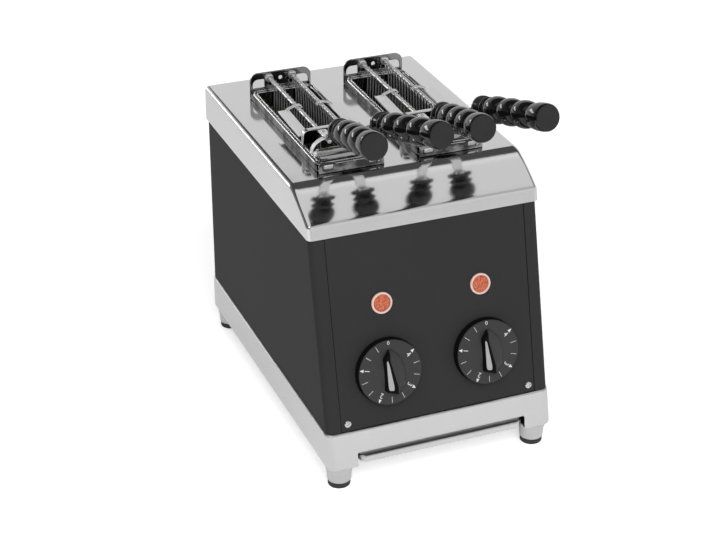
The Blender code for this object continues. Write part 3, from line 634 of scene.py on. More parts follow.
def bodyShell():
    def outline(z):
        lift = frontY(z, bodyInset)
        r, s, half, rear = shell["corner"], shell["skin"], shell["half"], rootY + shell["rear"]
        outer = [(-shell["seam"], lift)] + arc(r - half, lift + r, r, 270, 180, 10)
        outer += arc(r - half, rear - r, r, 180, 90, 10) + arc(half - r, rear - r, r, 90, 0, 10)
        outer += arc(half - r, lift + r, r, 0, -90, 10) + [(shell["seam"], lift)]
        r -= s
        inner = [(shell["seam"], lift + s)] + arc(half - s - r, lift + s + r, r, -90, 0, 10)
        inner += arc(half - s - r, rear - s - r, r, 0, 90, 10) + arc(r + s - half, rear - s - r, r, 90, 180, 10)
        inner += arc(r + s - half, lift + s + r, r, 180, 270, 10) + [(-shell["seam"], lift + s)]
        return [(x, y, z) for x, y in outer + inner]
    rings = [outline(baseTop + 0.0003 + (shell["top"] - 0.0003) * i / 4) for i in range(5)]
    low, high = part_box("cable_gland")
    spot = Matrix.Translation(((low.x + high.x) / 2, rootY + shell["rear"],
                               (low.z + high.z) / 2)) @ Matrix.Rotation(quarter, 4, "X")
    hole = cutter(lathe("hole", [(0, 0.006), (0.0098, 0.006), (0.0098, -0.006), (0, -0.006)], spot, 32))
    return piece("body_shell_folded", loft("shell", rings), "blackPaint", "housing",
                 ["body_shell"], cutters=[hole])


bodyShell()
panel = {"half": 0.0968, "low": 0.0010, "top": 0.193, "thickness": 0.0015, "lampHole": 0.0070,
         "stemHole": 0.0036, "screwHole": 0.0020, "pitch": 0.0485, "lampUp": 0.1150, "dialUp": 0.0515,
         "screwAcross": 0.0906, "screwUp": 0.0080}


def frontPanel():
    p = panel
    outlines = [[(-p["half"], p["low"]), (p["half"], p["low"]), (p["half"], p["top"]), (-p["half"], p["top"])]]
    for hand, side in hands:
        for across, up, radius in ((p["pitch"], p["lampUp"], p["lampHole"]),
                                   (p["pitch"], p["dialUp"], p["stemHole"]),
                                   (p["screwAcross"], p["screwUp"], p["screwHole"])):
            outlines.append(arc(side * across, up, radius, 0, 345, 23))
    spot = onPanel(0, bodyInset + p["thickness"] / 2, 0)
    return piece("front_panel_pressed", plate("panel", outlines, p["thickness"], spot, 0.0005), "blackPaint",
                 "housing", ["front_panel"])


frontPanel()
print("body made")

# polished cover
cover = {"half": 0.1125, "skirtUp": 0.178, "lip": 0.0125, "slopeEnd": 0.0905, "bend": 0.026, "bendTilt": 23.5,
         "slopeSteps": 30, "lipBend": 0.0054, "edge": 0.0048, "edgeSteps": 9, "sheet": 0.0012,
         "slotHalf": 0.0270, "slotFront": 0.106, "slotRear": 0.279, "slotCorner": 0.0035, "pitch": 0.0490}


def coverProfile():  # (along, up) from the front lip's bottom edge over the top to the back
    c = cover
    bottom = baseTop + c["skirtUp"]
    lipTop = bottom + c["lip"]
    tilt, bend = math.radians(c["bendTilt"]), c["bend"]
    rise = coverTop - lipTop - bend * (1 - math.cos(tilt))
    run = rootY + c["slopeEnd"] - frontY(lipTop) - bend * math.sin(tilt)
    half = math.degrees(math.atan2(rise, run)) - c["bendTilt"]
    broad = math.hypot(run, rise) / (2 * math.sin(math.radians(half)))  # slow curve from the bend to the lip
    aim = c["bendTilt"] + half + 90
    lipEdge = Vector((frontY(lipTop), lipTop))
    centre = lipEdge - Vector((math.cos(math.radians(aim + half)), math.sin(math.radians(aim + half)))) * broad
    slope = arc(centre.x, centre.y, broad, aim + half, aim - half, c["slopeSteps"])
    slope += arc(rootY + c["slopeEnd"], coverTop - bend, bend, 90 + c["bendTilt"], 90, 10)[1:]
    down = (Vector((frontY(bottom), bottom)) - lipEdge).normalized()
    along = (Vector(slope[3]) - lipEdge).normalized()
    wedge = down.angle(along) / 2
    reach = c["lipBend"] / math.tan(wedge)
    hub = lipEdge + (down + along).normalized() * c["lipBend"] / math.sin(wedge)
    first, last = lipEdge + down * reach - hub, lipEdge + along * reach - hub
    points = [(frontY(bottom), bottom)]
    turns = [math.degrees(math.atan2(way.y, way.x)) for way in (first, last)]
    points += arc(hub.x, hub.y, c["lipBend"], *turns, 8)
    points += [p for p in slope if (Vector(p) - lipEdge).length > reach * 1.3]
    points += [(rootY + c["slopeEnd"] + 0.02, coverTop), (rootY + 0.20, coverTop), (rootY + 0.31, coverTop)]
    points += arc(rootY + 0.3365 - 0.005, coverTop - 0.005, 0.005, 90, 0, 8)
    points += [(rootY + 0.3365, bottom)]
    return points


def inwards(points, distance):  # the profile moved in along its own normals, ends kept on the bottom line
    moved = []
    for i, point in enumerate(points):
        before, after = Vector(points[max(i - 1, 0)]), Vector(points[min(i + 1, len(points) - 1)])
        if 0 < i < len(points) - 1:
            first, second = (Vector(point) - before).normalized(), (after - Vector(point)).normalized()
            way = (first + second).normalized()
            stretch = 1 / max(0.5, way.dot(first))
        else:
            way, stretch = (after - before).normalized(), 1
        normal = Vector((way.y, -way.x))
        spot = Vector(point) + normal * distance * stretch
        if i in (0, len(points) - 1):
            spot.y = point[1]
        moved.append(tuple(spot))
    return moved


def topCover():
    c = cover
    profile = coverProfile()
    stations = [(-c["half"], c["edge"])]
    for i in range(1, c["edgeSteps"] + 1):
        turn = quarter * i / c["edgeSteps"]
        stations.append((-c["half"] + c["edge"] * (1 - math.cos(turn)), c["edge"] * (1 - math.sin(turn))))
    stations += [(-x, inset) for x, inset in reversed(stations)]
    bm = bmesh.new()
    rows = []
    for x, inset in stations:
        rows.append([bm.verts.new((x, y, z)) for y, z in inwards(profile, inset)])
    for first, second in zip(rows, rows[1:]):
        for i in range(len(first) - 1):
            bm.faces.new((first[i], first[i + 1], second[i + 1], second[i]))
    for row in (rows[0], rows[-1]):
        bm.faces.new(row)
    mesh = meshOf("cover", bm)
    obj = bpy.data.objects.new("cover", mesh)
    scene.collection.objects.link(obj)
    sheet = obj.modifiers.new("sheet", "SOLIDIFY")
    sheet.thickness = c["sheet"]
    sheet.offset = -1
    mesh = settled(obj)
    bpy.data.objects.remove(obj)
    slots = []
    for hand, side in hands:
        x = side * c["pitch"]
        slots.append(cutter(loft("slot", roundBox(
            (x - c["slotHalf"], rootY + c["slotFront"], coverTop - 0.01),
            (x + c["slotHalf"], rootY + c["slotRear"], coverTop + 0.01), c["slotCorner"]))))
    return piece("top_cover_polished", mesh, "polishedSteel", "housing",
                 ["top_cover"], angle=28, cutters=slots)


topCover()
print("cover made")

# lamps and screws
lamp = {"ring": 0.0100, "seat": 0.0079, "height": 0.0018, "barrel": 0.0068, "depth": 0.018, "dome": 0.0016,
        "edge": 0.0006}
screw = {"radius": 0.0033, "height": 0.0018, "rim": 0.0006, "cross": 0.0008, "reach": 0.0021, "deep": 0.0010,
         "stem": 0.0018}


def makeLamp(hand, side):
    spot = onPanel(side * panel["pitch"], bodyInset - 0.0003, panel["lampUp"])
    r, h, e = lamp["ring"], lamp["height"], lamp["edge"]
    profile = [(lamp["seat"], h * 0.6), (lamp["seat"] + 0.0003, h)] + arc(r - e, h - e, e, 90, 0, 4)
    profile += [(r, 0), (lamp["barrel"], 0), (lamp["barrel"], -lamp["depth"]),
                (lamp["barrel"] - 0.001, -lamp["depth"]), (lamp["barrel"] - 0.001, h * 0.3),
                (lamp["seat"], h * 0.3), (lamp["seat"], h * 0.6)]
    piece("lamp_ring_" + hand, lathe("ring", profile, spot, 64), "lampRing", "housing",
          ["lamp_bezel_" + hand])
    wide = lamp["seat"] - 0.0001
    dome = [(wide * math.sin(t), h * 0.7 + lamp["dome"] * math.cos(t)) for t in quarterSteps(10)]
    piece("lamp_glass_" + hand, lathe("lens", dome + [(wide, h * 0.35), (0, h * 0.35)], spot, 64), "lampLens",
          "housing", ["lamp_lens_" + hand])


def makeScrew(hand, side):
    spot = onPanel(side * panel["screwAcross"], bodyInset - 0.0001, panel["screwUp"])
    r, h = screw["radius"], screw["height"]
    crown = [(r * math.sin(t), screw["rim"] + (h - screw["rim"]) * math.cos(t)) for t in quarterSteps(7)]
    profile = crown + [(r, 0), (screw["stem"], 0), (screw["stem"], -0.006), (0, -0.006)]
    cuts = []
    for turn in (20, 110):
        reach, wide = screw["reach"], screw["cross"] / 2
        bar = roundBox((-reach, -wide, h - screw["deep"]), (reach, wide, h + 0.002), wide * 0.9)
        way = spot @ Matrix.Rotation(math.radians(turn), 4, "Z")
        cuts.append(cutter(loft("bar", [[way @ Vector(p) for p in ring] for ring in bar])))
    piece("screw_" + hand, lathe("screw", profile, spot, 40), "chromeSheet", "housing",
          ["panel_screw_" + hand], cutters=cuts)


for hand, side in hands:
    makeLamp(hand, side)
    makeScrew(hand, side)
print("lamps and screws made")

# dials
dial = {"radius": 0.0305, "rim": 0.0312, "stand": 0.0010, "thickness": 0.0078, "edge": 0.0009, "stem": 0.0030,
        "stemLength": 0.012, "wingTop": 0.0148, "hubHeight": 0.0022, "step": 25.5}
marks = {"digitIn": 0.0197, "digitOut": 0.0258, "tickIn": 0.0231, "tickOut": 0.0289, "tickWide": 0.00038,
         "wedgeIn": 0.0266, "wedgeOut": 0.0302, "wedgeWide": 0.0030, "zero": 0.0277, "thick": 0.00012,
         "digitSize": 0.0070}


def smoothClosed(corners, count=72, soft=0.22):  # rounded outline through straight runs
    path = []
    total = len(corners)
    for i, corner in enumerate(corners):
        here, before, after = Vector(corner), Vector(corners[i - 1]), Vector(corners[(i + 1) % total])
        a, b = here + (before - here) * soft, here + (after - here) * soft
        for j in range(count // total):
            t = j / (count // total - 1)
            path.append(a * (1 - t) ** 2 + here * 2 * t * (1 - t) + b * t * t)
    return path


def wingRings():
    foot = [(0.0012, 0.0236), (-0.0056, 0.0140), (-0.0062, -0.0150), (0.0050, -0.0218), (0.0142, -0.0150),
            (0.0152, 0.0020), (0.0108, 0.0140)]
    top = [(-0.0008, 0.0170), (-0.0050, 0.0130), (-0.0056, -0.0140), (0.0046, -0.0190), (0.0056, -0.0105),
           (0.0040, 0.0010), (0.0012, 0.0120)]
    low, high = dial["stand"] + dial["thickness"] - 0.0006, dial["wingTop"] - 0.0008
    footPath, topPath = smoothClosed(foot, 70, 0.3), smoothClosed(top, 70, 0.2)
    rings = []
    for level in (0, 0.12, 0.3, 0.5, 0.7, 0.86, 0.96, 1.0):
        ease = 1 - math.cos(level * quarter)
        shrink = 0.985 if level == 1.0 else 1
        rings.append([((a * (1 - ease) + b * ease) * shrink).to_3d()
                      + Vector((0, 0, low + (high - low) * level)) for a, b in zip(footPath, topPath)])
    return rings


def makeDial(hand, side):
    body = hand + "_dial"
    spot = onPanel(side * panel["pitch"], bodyInset, panel["dialUp"])
    d = dial
    top = d["stand"] + d["thickness"]
    profile = [(0, top + d["hubHeight"])]
    for i in range(1, 15):
        share = i / 14
        profile.append((share * 0.0195, top + d["hubHeight"] * (0.5 + 0.5 * math.cos(math.pi * share)) ** 1.1))
    profile += arc(d["radius"] - d["edge"], top - d["edge"], d["edge"], 90, 10, 5)
    profile += [(d["rim"], d["stand"] + 0.0004), (d["rim"] - 0.0004, d["stand"]), (d["stem"], d["stand"]),
                (d["stem"], -d["stemLength"]), (0, -d["stemLength"])]
    disc = lathe("disc", profile, spot, 96)
    wing = loft("wing", [[spot @ p for p in ring] for ring in wingRings()])
    piece("dial_" + hand, joined("dial", [disc, wing]), "dialPlastic", body,
          ["timer_dial_" + hand], angle=30)
    # a near-black ring over the dial's side wall: painted shade
    wall = [(d["radius"] + 0.00005, top - d["edge"]), (d["rim"] + 0.00012, d["stand"] + 0.0006),
            (d["rim"] + 0.00005, d["stand"]), (d["rim"] - 0.001, d["stand"]),
            (d["radius"] - 0.001, top - d["edge"] * 2), (d["radius"] + 0.00005, top - d["edge"])]
    piece("dial_wall_" + hand, lathe("wall", wall, spot, 96), "dialShade", body)
    # a near-black band round the wing's top land and its tip: painted shade along the wing's edges
    lower = [(-0.0004, 0.0226), (-0.0068, 0.0140), (-0.0068, -0.0172), (0.0048, -0.0218), (0.0050, -0.0134),
             (-0.0002, 0.0130)]
    upper = [(-0.0014, 0.0196), (-0.0062, 0.0134), (-0.0062, -0.0166), (0.0042, -0.0203), (0.0042, -0.0130),
             (-0.0014, 0.0124)]
    ridgeFoot, rise = top - 0.0004, d["wingTop"] - top + 0.0004
    ridge = [[spot @ (p.lerp(q, share) * shrink).to_3d() + spot.to_3x3()
              @ Vector((0, 0, ridgeFoot + rise * share))
              for p, q in zip(smoothClosed(lower, soft=0.08), smoothClosed(upper, soft=0.08))]
              for share, shrink in ((0, 1), (0.5, 1), (0.95, 1), (1, 0.98))]
    piece("dial_ridge_" + hand, loft("ridge", ridge), "dialShade", body)
    insert = [(-0.0052, 0.0128), (-0.0054, -0.0120), (-0.0044, -0.0150), (-0.0002, -0.0158), (0.0002, -0.0120),
              (-0.0036, 0.0128)]
    path = smoothClosed(insert, soft=0.25)
    rings = [[spot @ (p * 0.97).to_3d().lerp(p.to_3d(), share)
              + (spot.to_3x3() @ Vector((0, 0, d["wingTop"] + z))) for p in path]
              for share, z in ((1, -0.0008), (1, 0.00025), (0, 0.0005))]
    piece("dial_insert_" + hand, loft("insert", rings), "palePlastic", body,
          ["dial_pointer_" + hand])
    printed = []
    face = top + 0.00002
    for step in range(13):
        turn = Matrix.Rotation(math.radians(d["step"] * step), 4, "Z")
        if step % 3:
            bar = roundBox((-marks["tickWide"] / 2, marks["tickIn"], face),
                           (marks["tickWide"] / 2, marks["tickOut"], face + marks["thick"]), 0.0002)
            printed.append(loft("tick", [[spot @ turn @ Vector(p) for p in ring] for ring in bar]))
            continue
        text = bpy.data.curves.new("digit", "FONT")
        text.body = str(step // 3)
        text.size = marks["digitSize"]
        text.align_x = "CENTER"
        text.align_y = "CENTER"
        text.extrude = marks["thick"]
        text.offset = -0.00004
        out = marks["zero"] if step == 0 else (marks["digitIn"] + marks["digitOut"]) / 2
        size = 0.72 if step == 0 else 1.0
        printed.append(curveMesh("digit", text, spot @ turn @ Matrix.Translation((0, out, face))
                                 @ Matrix.Scale(size, 4)))
        if step:
            outline = [(-marks["wedgeWide"] / 2, marks["wedgeIn"]), (marks["wedgeWide"] / 2, marks["wedgeIn"]),
                       (0, marks["wedgeOut"])]
            rings = [[spot @ turn @ Vector((x, y, z)) for x, y in outline]
                     for z in (face, face + marks["thick"])]
            printed.append(loft("wedge", rings))
    piece("dial_marks_" + hand, joined("marks", printed), "whitePrint", body)


for hand, side in hands:
    makeDial(hand, side)
print("dials made")

# back gland, inside
gland = {"bore": 0.0036, "tip": 0.0066, "barrel": 0.0095, "nut": 0.0115, "nutLength": 0.006, "length": 0.012}


def makeGland():
    low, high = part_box("cable_gland")
    g = gland
    wall = rootY + shell["rear"] + 0.0003
    spot = Matrix.Translation(((low.x + high.x) / 2, wall,
                               (low.z + high.z) / 2)) @ Matrix.Rotation(-quarter, 4, "X")
    n, l = g["nutLength"], g["length"]
    profile = [(g["bore"], n + l - 0.0005), (g["bore"] + 0.0006, n + l), (g["tip"], n + l),
               (g["barrel"], n + l * 0.4), (g["barrel"], n), (g["barrel"], -n), (g["bore"], -n),
               (g["bore"], n + l - 0.0005)]
    hexagon = [(g["nut"] * math.cos(t), g["nut"] * math.sin(t))
               for t in [math.radians(60 * i) for i in range(6)]]
    nut = loft("nut", [[spot @ Vector((x * s, y * s, z)) for x, y in hexagon]
                       for s, z in ((0.94, 0), (1, 0.0006), (1, n - 0.0008), (0.9, n))])
    piece("gland_turned", joined("gland", [lathe("gland", profile, spot, 48), nut]), "dialPlastic", "housing",
          ["cable_gland"])


makeGland()
insideFinishes = {
    "reflectorSheet": ["reflector_left", "reflector_right", "reflector_centre_left", "reflector_centre_right"],
    "satinSteel": ["tray_runner_left", "tray_runner_right"],
    "palePlastic": ["timer_left", "timer_right"],
    "elementTube": ["heater_left_outer", "heater_left_inner", "heater_right_inner", "heater_right_outer"],
}
for material, nodes in insideFinishes.items():
    for node in nodes:
        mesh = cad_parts[node].data
        mesh.materials.clear()
        mesh.materials.append(finishes[material])
print("gland and inside made")

# tongs
tongs = {"pitch": 0.0490, "slotFront": 0.1063, "slotRear": 0.2787, "slotHalf": 0.0267, "half": 0.0315,
         "front": 0.0985, "rear": 0.2860, "rodX": 0.0119, "rodUp": 0.0185, "rodRadius": 0.0019,
         "rodFront": 0.1215, "rodRear": 0.2905, "plate": 0.0018, "gap": 0.0003, "noseLean": 0.24}
grid = {"wires": 20, "front": 0.1470, "rear": 0.2800, "wire": 0.00075, "depth": 0.125, "hook": 0.0080,
        "bars": (0.030, 0.076, 0.122), "bumps": 9, "bumpRadius": 0.0014, "bumpFirst": 0.1500,
        "bumpPitch": 0.0160}
grip = {"radius": 0.0125, "flange": 0.0112, "neck": 0.0078, "groove": 0.0092, "ring": 0.0108, "cap": 0.0112,
        "capThick": 0.0005, "neckPlace": (0.0193, 0.0770, 0.0490), "endPlace": (0.0303, -0.0295, 0.0800)}
arm = {"rear": 0.1410, "bend": 0.1210, "lift": 0.0012, "halfWide": 0.0040, "swell": 0.0010, "sheet": 0.0021,
       "rivets": (0.1372, 0.1275)}


def local(centre, x, y, z):
    return Vector((centre + x, rootY + y, coverTop + 0.0003 + z))


def seated(centre, x, y, z, turn=quarter):  # a frame on the tongs, its z to the front
    return Matrix.Translation(local(centre, x, y, z)) @ Matrix.Rotation(turn, 4, "X")


def makeCarrier(name, centre, body):
    t = tongs
    side, end = t["half"] - t["slotHalf"], t["slotFront"] - t["front"]
    section = [(0.0, -0.0080), (0.0008, -0.0080), (0.0008, 0.0), (side, 0.0), (side, 0.0066)]
    section += arc(side - 0.0009, 0.0068, 0.0009, 0, 180, 8)
    section += [(side - 0.0018, 0.0046), (0.0017, 0.0046)]
    section += arc(0.0009, 0.0068, 0.0008, 0, 180, 7)
    mesh = ringSweep("rails", section, t["slotHalf"], 0, 1, 0.0028, 0)
    for vert in mesh.vertices:  # ends stretched to the carrier's own front and back
        x, y, z = vert.co
        front = t["slotFront"] + y * end / side
        rear = t["slotRear"] + (y - 1) * (t["rear"] - t["slotRear"]) / side
        vert.co = local(centre, x, front if y < 0.5 else rear, z)
    piece(name + "rails", mesh, "railChrome", body, [name + "carrier"], angle=40)
    # thin dark sheets laid over the rails' outer walls: their banded colour paints the shade and dark
    # reflection there
    webs = []
    for way in (-1, 1):
        ends = sorted((centre + way * (t["half"] - 0.0001), centre + way * (t["half"] + 0.0002)))
        low, high = local(0, ends[0], t["front"] + 0.004, 0.0004), local(0, ends[1], t["rear"] - 0.003, 0.0058)
        webs.append(loft("web", roundBox(low, high, 0.0001, 1)))
    web = joined("webs", webs)
    piece(name + "rail_web", web, "reflectionPaintedSteel", body, angle=40)


backPlate = {"corner": 0.0085, "top": 0.0245, "eyeUp": 0.0172, "eye": 0.0020, "windowLow": 0.0090,
             "windowTop": 0.0178, "windowNear": 0.0166, "windowEdge": 0.0028, "bigCorner": 0.0052,
             "smallCorner": 0.0012}
nosePlate = {"low": 0.0072, "ear": 0.0100, "corner": 0.0048, "earIn": 0.0140, "dip": 0.0175,
             "windowLow": 0.0024, "windowTop": 0.0070, "windowEdge": 0.0034, "windowIn": 0.0142,
             "windowCorner": 0.0011}


def makePlates(name, centre, body):
    t, p = tongs, backPlate
    half, corner, top = t["half"], p["corner"], p["top"]
    outline = [(-half, 0), (half, 0)] + arc(half - corner, top - corner, corner, 0, 90, 8)
    outline += arc(corner - half, top - corner, corner, 90, 180, 8)
    holes = [arc(0, p["eyeUp"], p["eye"], 0, 340, 17)]
    for side in (-1, 1):
        far, near, r, small = half - p["windowEdge"], p["windowNear"], p["bigCorner"], p["smallCorner"]
        low, high = p["windowLow"], p["windowTop"]
        window = arc(near + small, low + small, small, 180, 270, 3)
        window += arc(far - small, low + small, small, 270, 360, 3)
        window += arc(far - r, high - r, r, 0, 90, 6) + arc(near + small, high - small, small, 90, 180, 3)
        holes.append([(side * x, y) for x, y in window])
    spot = seated(centre, 0, t["rear"] + t["gap"] + t["plate"] / 2, 0)
    rear = plate("rear", [outline] + holes, t["plate"], spot, 0.0004)
    bosses = []
    for side in (-1, 1):
        boss = seated(centre, side * t["rodX"], t["rear"] + 0.0012, t["rodUp"])
        bosses.append(lathe("boss", [(0.0021, -0.0014), (0.0036, -0.0014), (0.0043, -0.0008), (0.0044, 0.0016),
                                     (0.0038, 0.0030), (0.0026, 0.0034), (0.0021, 0.0030), (0.0021, -0.0014)],
                                     boss, 32))
    # the back plate's darker chrome is painted shade for its dark reflections
    piece(name + "back_plate", rear, "darkTongChrome", body, [name + "rear_plate"])
    piece(name + "rod_seats", joined("seats", bosses), "rodSteel", body)

    p = nosePlate
    low, ear, corner = p["low"], p["ear"], p["corner"]
    outline = [(-half, 0), (half, 0)] + arc(half - corner, ear - corner, corner, 0, 90, 8)
    outline += [(half - p["earIn"], ear - 0.0008), (half - p["dip"], low), (p["dip"] - half, low),
                (p["earIn"] - half, ear - 0.0008)]
    outline += arc(corner - half, ear - corner, corner, 90, 180, 8)
    holes = []
    for side in (-1, 1):
        far, near, r = half - p["windowEdge"], half - p["windowIn"], p["windowCorner"]
        low, high = p["windowLow"], p["windowTop"]
        window = arc(near + r, low + r, r, 180, 270, 3) + arc(far - r, low + r, r, 270, 360, 3)
        window += arc(far - r, high - r, r, 0, 90, 3) + arc(near + r, high - r, r, 90, 180, 3)
        holes.append([(side * x, y) for x, y in window])
    # the nose plate's banded colour paints its dark and bright reflections and shade
    spot = seated(centre, 0, t["front"] - t["gap"] - t["plate"] / 2, 0, quarter - t["noseLean"])
    piece(name + "nose_plate", plate("nose", [outline] + holes, t["plate"], spot, 0.0004), "reflectionPaintedSteel", body,
          [name + "front_plate"])


bridge = {"at": 0.1455, "deck": 0.0026, "sheet": 0.0012, "webAt": 0.1497, "web": 0.0013, "rodHole": 0.0021}
bowStrap = {"foot": 0.0285, "inwards": 0.0165, "at": 0.1245, "forward": 0.002, "footUp": 0.0085, "rise": 0.0125,
            "halfWide": 0.0026, "sheet": 0.0011, "boltAcross": 0.0272, "boltAt": 0.1170, "boltUp": 0.0100}
halfBarrel = {"half": 0.0262, "shoulder": 0.0256, "ends": 0.86, "at": 0.1155, "up": 0.0072, "deep": 0.0078,
              "high": 0.0085}


def makeBridge(name, centre, body):
    t, b, s, h = tongs, bridge, bowStrap, halfBarrel
    spine = [local(centre, x, b["at"], z)
             for x, z in ((-0.0290, 0.0075), (-0.0288, 0.0190), (-0.0262, 0.0222), (-0.012, 0.0226),
                          (0.012, 0.0226), (0.0262, 0.0222), (0.0288, 0.0190), (0.0290, 0.0075))]
    deck = strap("deck", filleted(spine, 0.003, 4), Vector((0, b["deck"], 0)), b["sheet"])
    web = plate("web", [[(-0.0265, 0.0073), (0.0265, 0.0073), (0.0265, 0.0185), (0.0240, 0.0218),
                         (-0.0240, 0.0218), (-0.0265, 0.0185)],
                         arc(-t["rodX"], t["rodUp"], b["rodHole"], 0, 340, 17),
                         arc(t["rodX"], t["rodUp"], b["rodHole"], 0, 340, 17)], b["web"],
                         seated(centre, 0, b["webAt"], 0), 0.0003)
    piece(name + "cross_piece", joined("bridge", [deck, web]), "chromeSheet", body,
          [name + "bridge"])
    # arched straps from the rods' front ends down to the rails, and the half barrel between the rails
    bows = []
    for side in (-1, 1):
        bow = [local(centre, side * (s["foot"] - s["inwards"] * (1 - math.cos(a))),
                     s["at"] + s["forward"] * math.sin(a), s["footUp"] + s["rise"] * math.sin(a))
                     for a in quarterSteps(9)]
        bows.append(strap("bow", bow, Vector((0, s["halfWide"], 0)), s["sheet"]))
        bolt = Matrix.Translation(local(centre, side * s["boltAcross"], s["boltAt"], s["boltUp"]))
        bows.append(lathe("bolt", [(0, 0.0034), (0.0016, 0.0031), (0.0023, 0.0020), (0.0023, -0.0006),
                                   (0, -0.0006)], bolt, 24))
    hood = []
    for x, size in ((-h["half"], h["ends"]), (-h["shoulder"], 1), (h["shoulder"], 1), (h["half"], h["ends"])):
        hood.append([local(centre, x, h["at"] + h["deep"] * size * math.cos(a),
                           h["up"] + h["high"] * size * math.sin(a))
                           for a in [math.radians(180 * i / 16) for i in range(17)]])
    piece(name + "bows", joined("bows", bows), "springStrip", body, angle=30)
    # the hood's darker chrome is painted shade for its dark reflections
    piece(name + "hood", loft("hood", hood), "darkTongChrome", body, angle=30)


spring = {"across": 0.0250, "halfWide": 0.0052, "sheet": 0.0008, "flangeAcross": 0.0301, "clipAt": 0.2050,
          "clipPitch": 0.0027, "clipWire": 0.0008}


def makeSpring(name, centre, body, jaw, side):
    t = tongs
    path = [local(centre, side * spring["across"], y, z)
            for y, z in ((0.1508, 0.0150), (0.1680, 0.0152), (0.1900, 0.0160), (0.2075, 0.0168))]
    strip = strap("strip", path, Vector((spring["halfWide"], 0, 0)), spring["sheet"])
    curl = [local(centre, side * spring["flangeAcross"], y, z - 0.0007)
            for y, z in ((0.1520, 0.0150), (0.1680, 0.0152), (0.1900, 0.0160), (0.2085, 0.0168))]
    flange = strap("flange", curl, Vector((0, 0, 0.0009)), 0.0006)
    over = t["rodUp"] + t["rodRadius"] + 0.0006
    loops = []
    for shift in (0.0, spring["clipPitch"]):
        route = [local(centre, side * x, spring["clipAt"] + shift + lag, z)
                 for x, z, lag in ((0.0232, 0.0172, 0), (0.0205, 0.0186, 0),
                                   (t["rodX"] + 0.0022, over - 0.0004, 0.0004), (t["rodX"], over, 0.0008),
                                   (t["rodX"] - 0.0030, over - 0.0008, 0.0012),
                                   (t["rodX"] - 0.0044, over - 0.0030, 0.0004))]
        loops.append(filleted(route, 0.002, 4))
    clip = tubes("clip", loops, spring["clipWire"])
    piece(name + "closing_spring_" + jaw, joined("spring", [strip, flange]), "springStrip", body,
          [name + "spring_" + jaw])
    piece(name + "clip_" + jaw, clip, "chromeWire", body)


def makeGrid(name, centre, body, jaw, side):
    t, g = tongs, grid
    x0, z0 = side * t["rodX"], t["rodUp"]
    rodPath = [local(centre, x0, t["rodFront"] + 0.001 * i, z0) for i in (0, 1)]
    rodPath += [local(centre, x0, y, z0) for y in (0.16, 0.20, 0.24, t["rodRear"] - 0.0008, t["rodRear"])]
    rod = tubes("rod", [rodPath], t["rodRadius"], 4)
    paths = []
    for i in range(g["wires"]):
        y = g["front"] + (g["rear"] - g["front"]) * i / (g["wires"] - 1)
        reach = t["rodRadius"] + g["wire"] * 0.5  # each wire wraps the rod's inner side from below
        over = [local(centre, x0 - side * reach * math.cos(a), y, z0 + reach * math.sin(a))
                for a in [math.radians(38 - 16 * j) for j in range(5)]]
        down = [local(centre, x0, y, -0.02), local(centre, x0, y, z0 - g["depth"] + 0.003)]
        turn = [local(centre, x0 - side * s, y, z0 - g["depth"] + h)
                for s, h in ((0.0004, 0.0012), (0.0014, 0.0003), (0.003, 0))]
        paths.append(over + [local(centre, x0 - side * 0.0010, y, z0 - 0.006)] + down + turn
                     + [local(centre, x0 - side * g["hook"], y, z0 - g["depth"])])
    wires = tubes("wires", paths, g["wire"], 1)
    piece(name + "wires_" + jaw, wires, "chromeWire", body, [name + "grid_" + jaw], angle=50)
    rails = [[local(centre, x0 + side * 0.0012, y, z0 - drop) for y in (g["front"] - 0.004, g["rear"] + 0.003)]
             for drop in g["bars"]]
    rails.append([local(centre, x0 - side * g["hook"], y, z0 - g["depth"])
                  for y in (g["front"] - 0.002, g["rear"] + 0.002)])
    bars = tubes("bars", rails, g["wire"] * 1.15, 2)
    blobs = []
    for i in range(g["bumps"]):
        y = g["bumpFirst"] + g["bumpPitch"] * i
        blob = Matrix.Translation(local(centre, x0 - 0.0012, y, z0 + 0.0010)) @ Matrix.Rotation(quarter, 4, "Y")
        r = g["bumpRadius"]
        blobs.append(lathe("blob", [(0, r)] + [(r * math.sin(a), r * math.cos(a))
                                               for a in (0.5, 1.0, 1.57, 2.1, 2.6)] + [(0, -r)], blob, 12))
    piece(name + "rod_" + jaw, joined("rod", [rod] + blobs), "rodSteel", body,
          [name + "grid_" + jaw], angle=50)
    piece(name + "bars_" + jaw, bars, "chromeWire", body, [name + "grid_" + jaw], angle=50)


def gripProfile(length):
    g = grip
    profile = [(0, 0), (g["flange"] - 0.0008, 0)] + arc(g["flange"] - 0.0008, 0.0008, 0.0008, -90, 0, 3)
    profile += [(g["flange"], length * 0.036), (g["flange"] - 0.0006, length * 0.043)]
    profile += [(g["neck"], length * 0.062), (g["neck"] + 0.0002, length * 0.078)]
    start, end = length * 0.085, length * 0.150
    profile += [(g["neck"] + (g["ring"] - g["neck"]) * math.sin(math.pi * i / 8) ** 0.7,
                 start + (end - start) * i / 8) for i in range(1, 8)]
    ribsFrom, ribsTo, ribs = length * 0.155, length * 0.785, 3
    for rib in range(ribs):
        begin = ribsFrom + (ribsTo - ribsFrom) * rib / ribs
        for i in range(12):
            swell = math.sin(math.pi * i / 12) ** 0.62
            profile.append((g["groove"] + (g["radius"] - g["groove"]) * swell,
                            begin + (ribsTo - ribsFrom) / ribs * i / 12))
    profile += [(g["groove"], ribsTo)]
    last = length - 0.0013 - ribsTo
    for i in range(1, 17):
        swell = math.sin(math.pi * 0.70 * i / 16) ** 0.62
        profile.append((g["groove"] + (g["radius"] - g["groove"]) * swell, ribsTo + last * i / 16))
    profile += [(g["cap"] + 0.0002, length), (0, length)]
    return profile


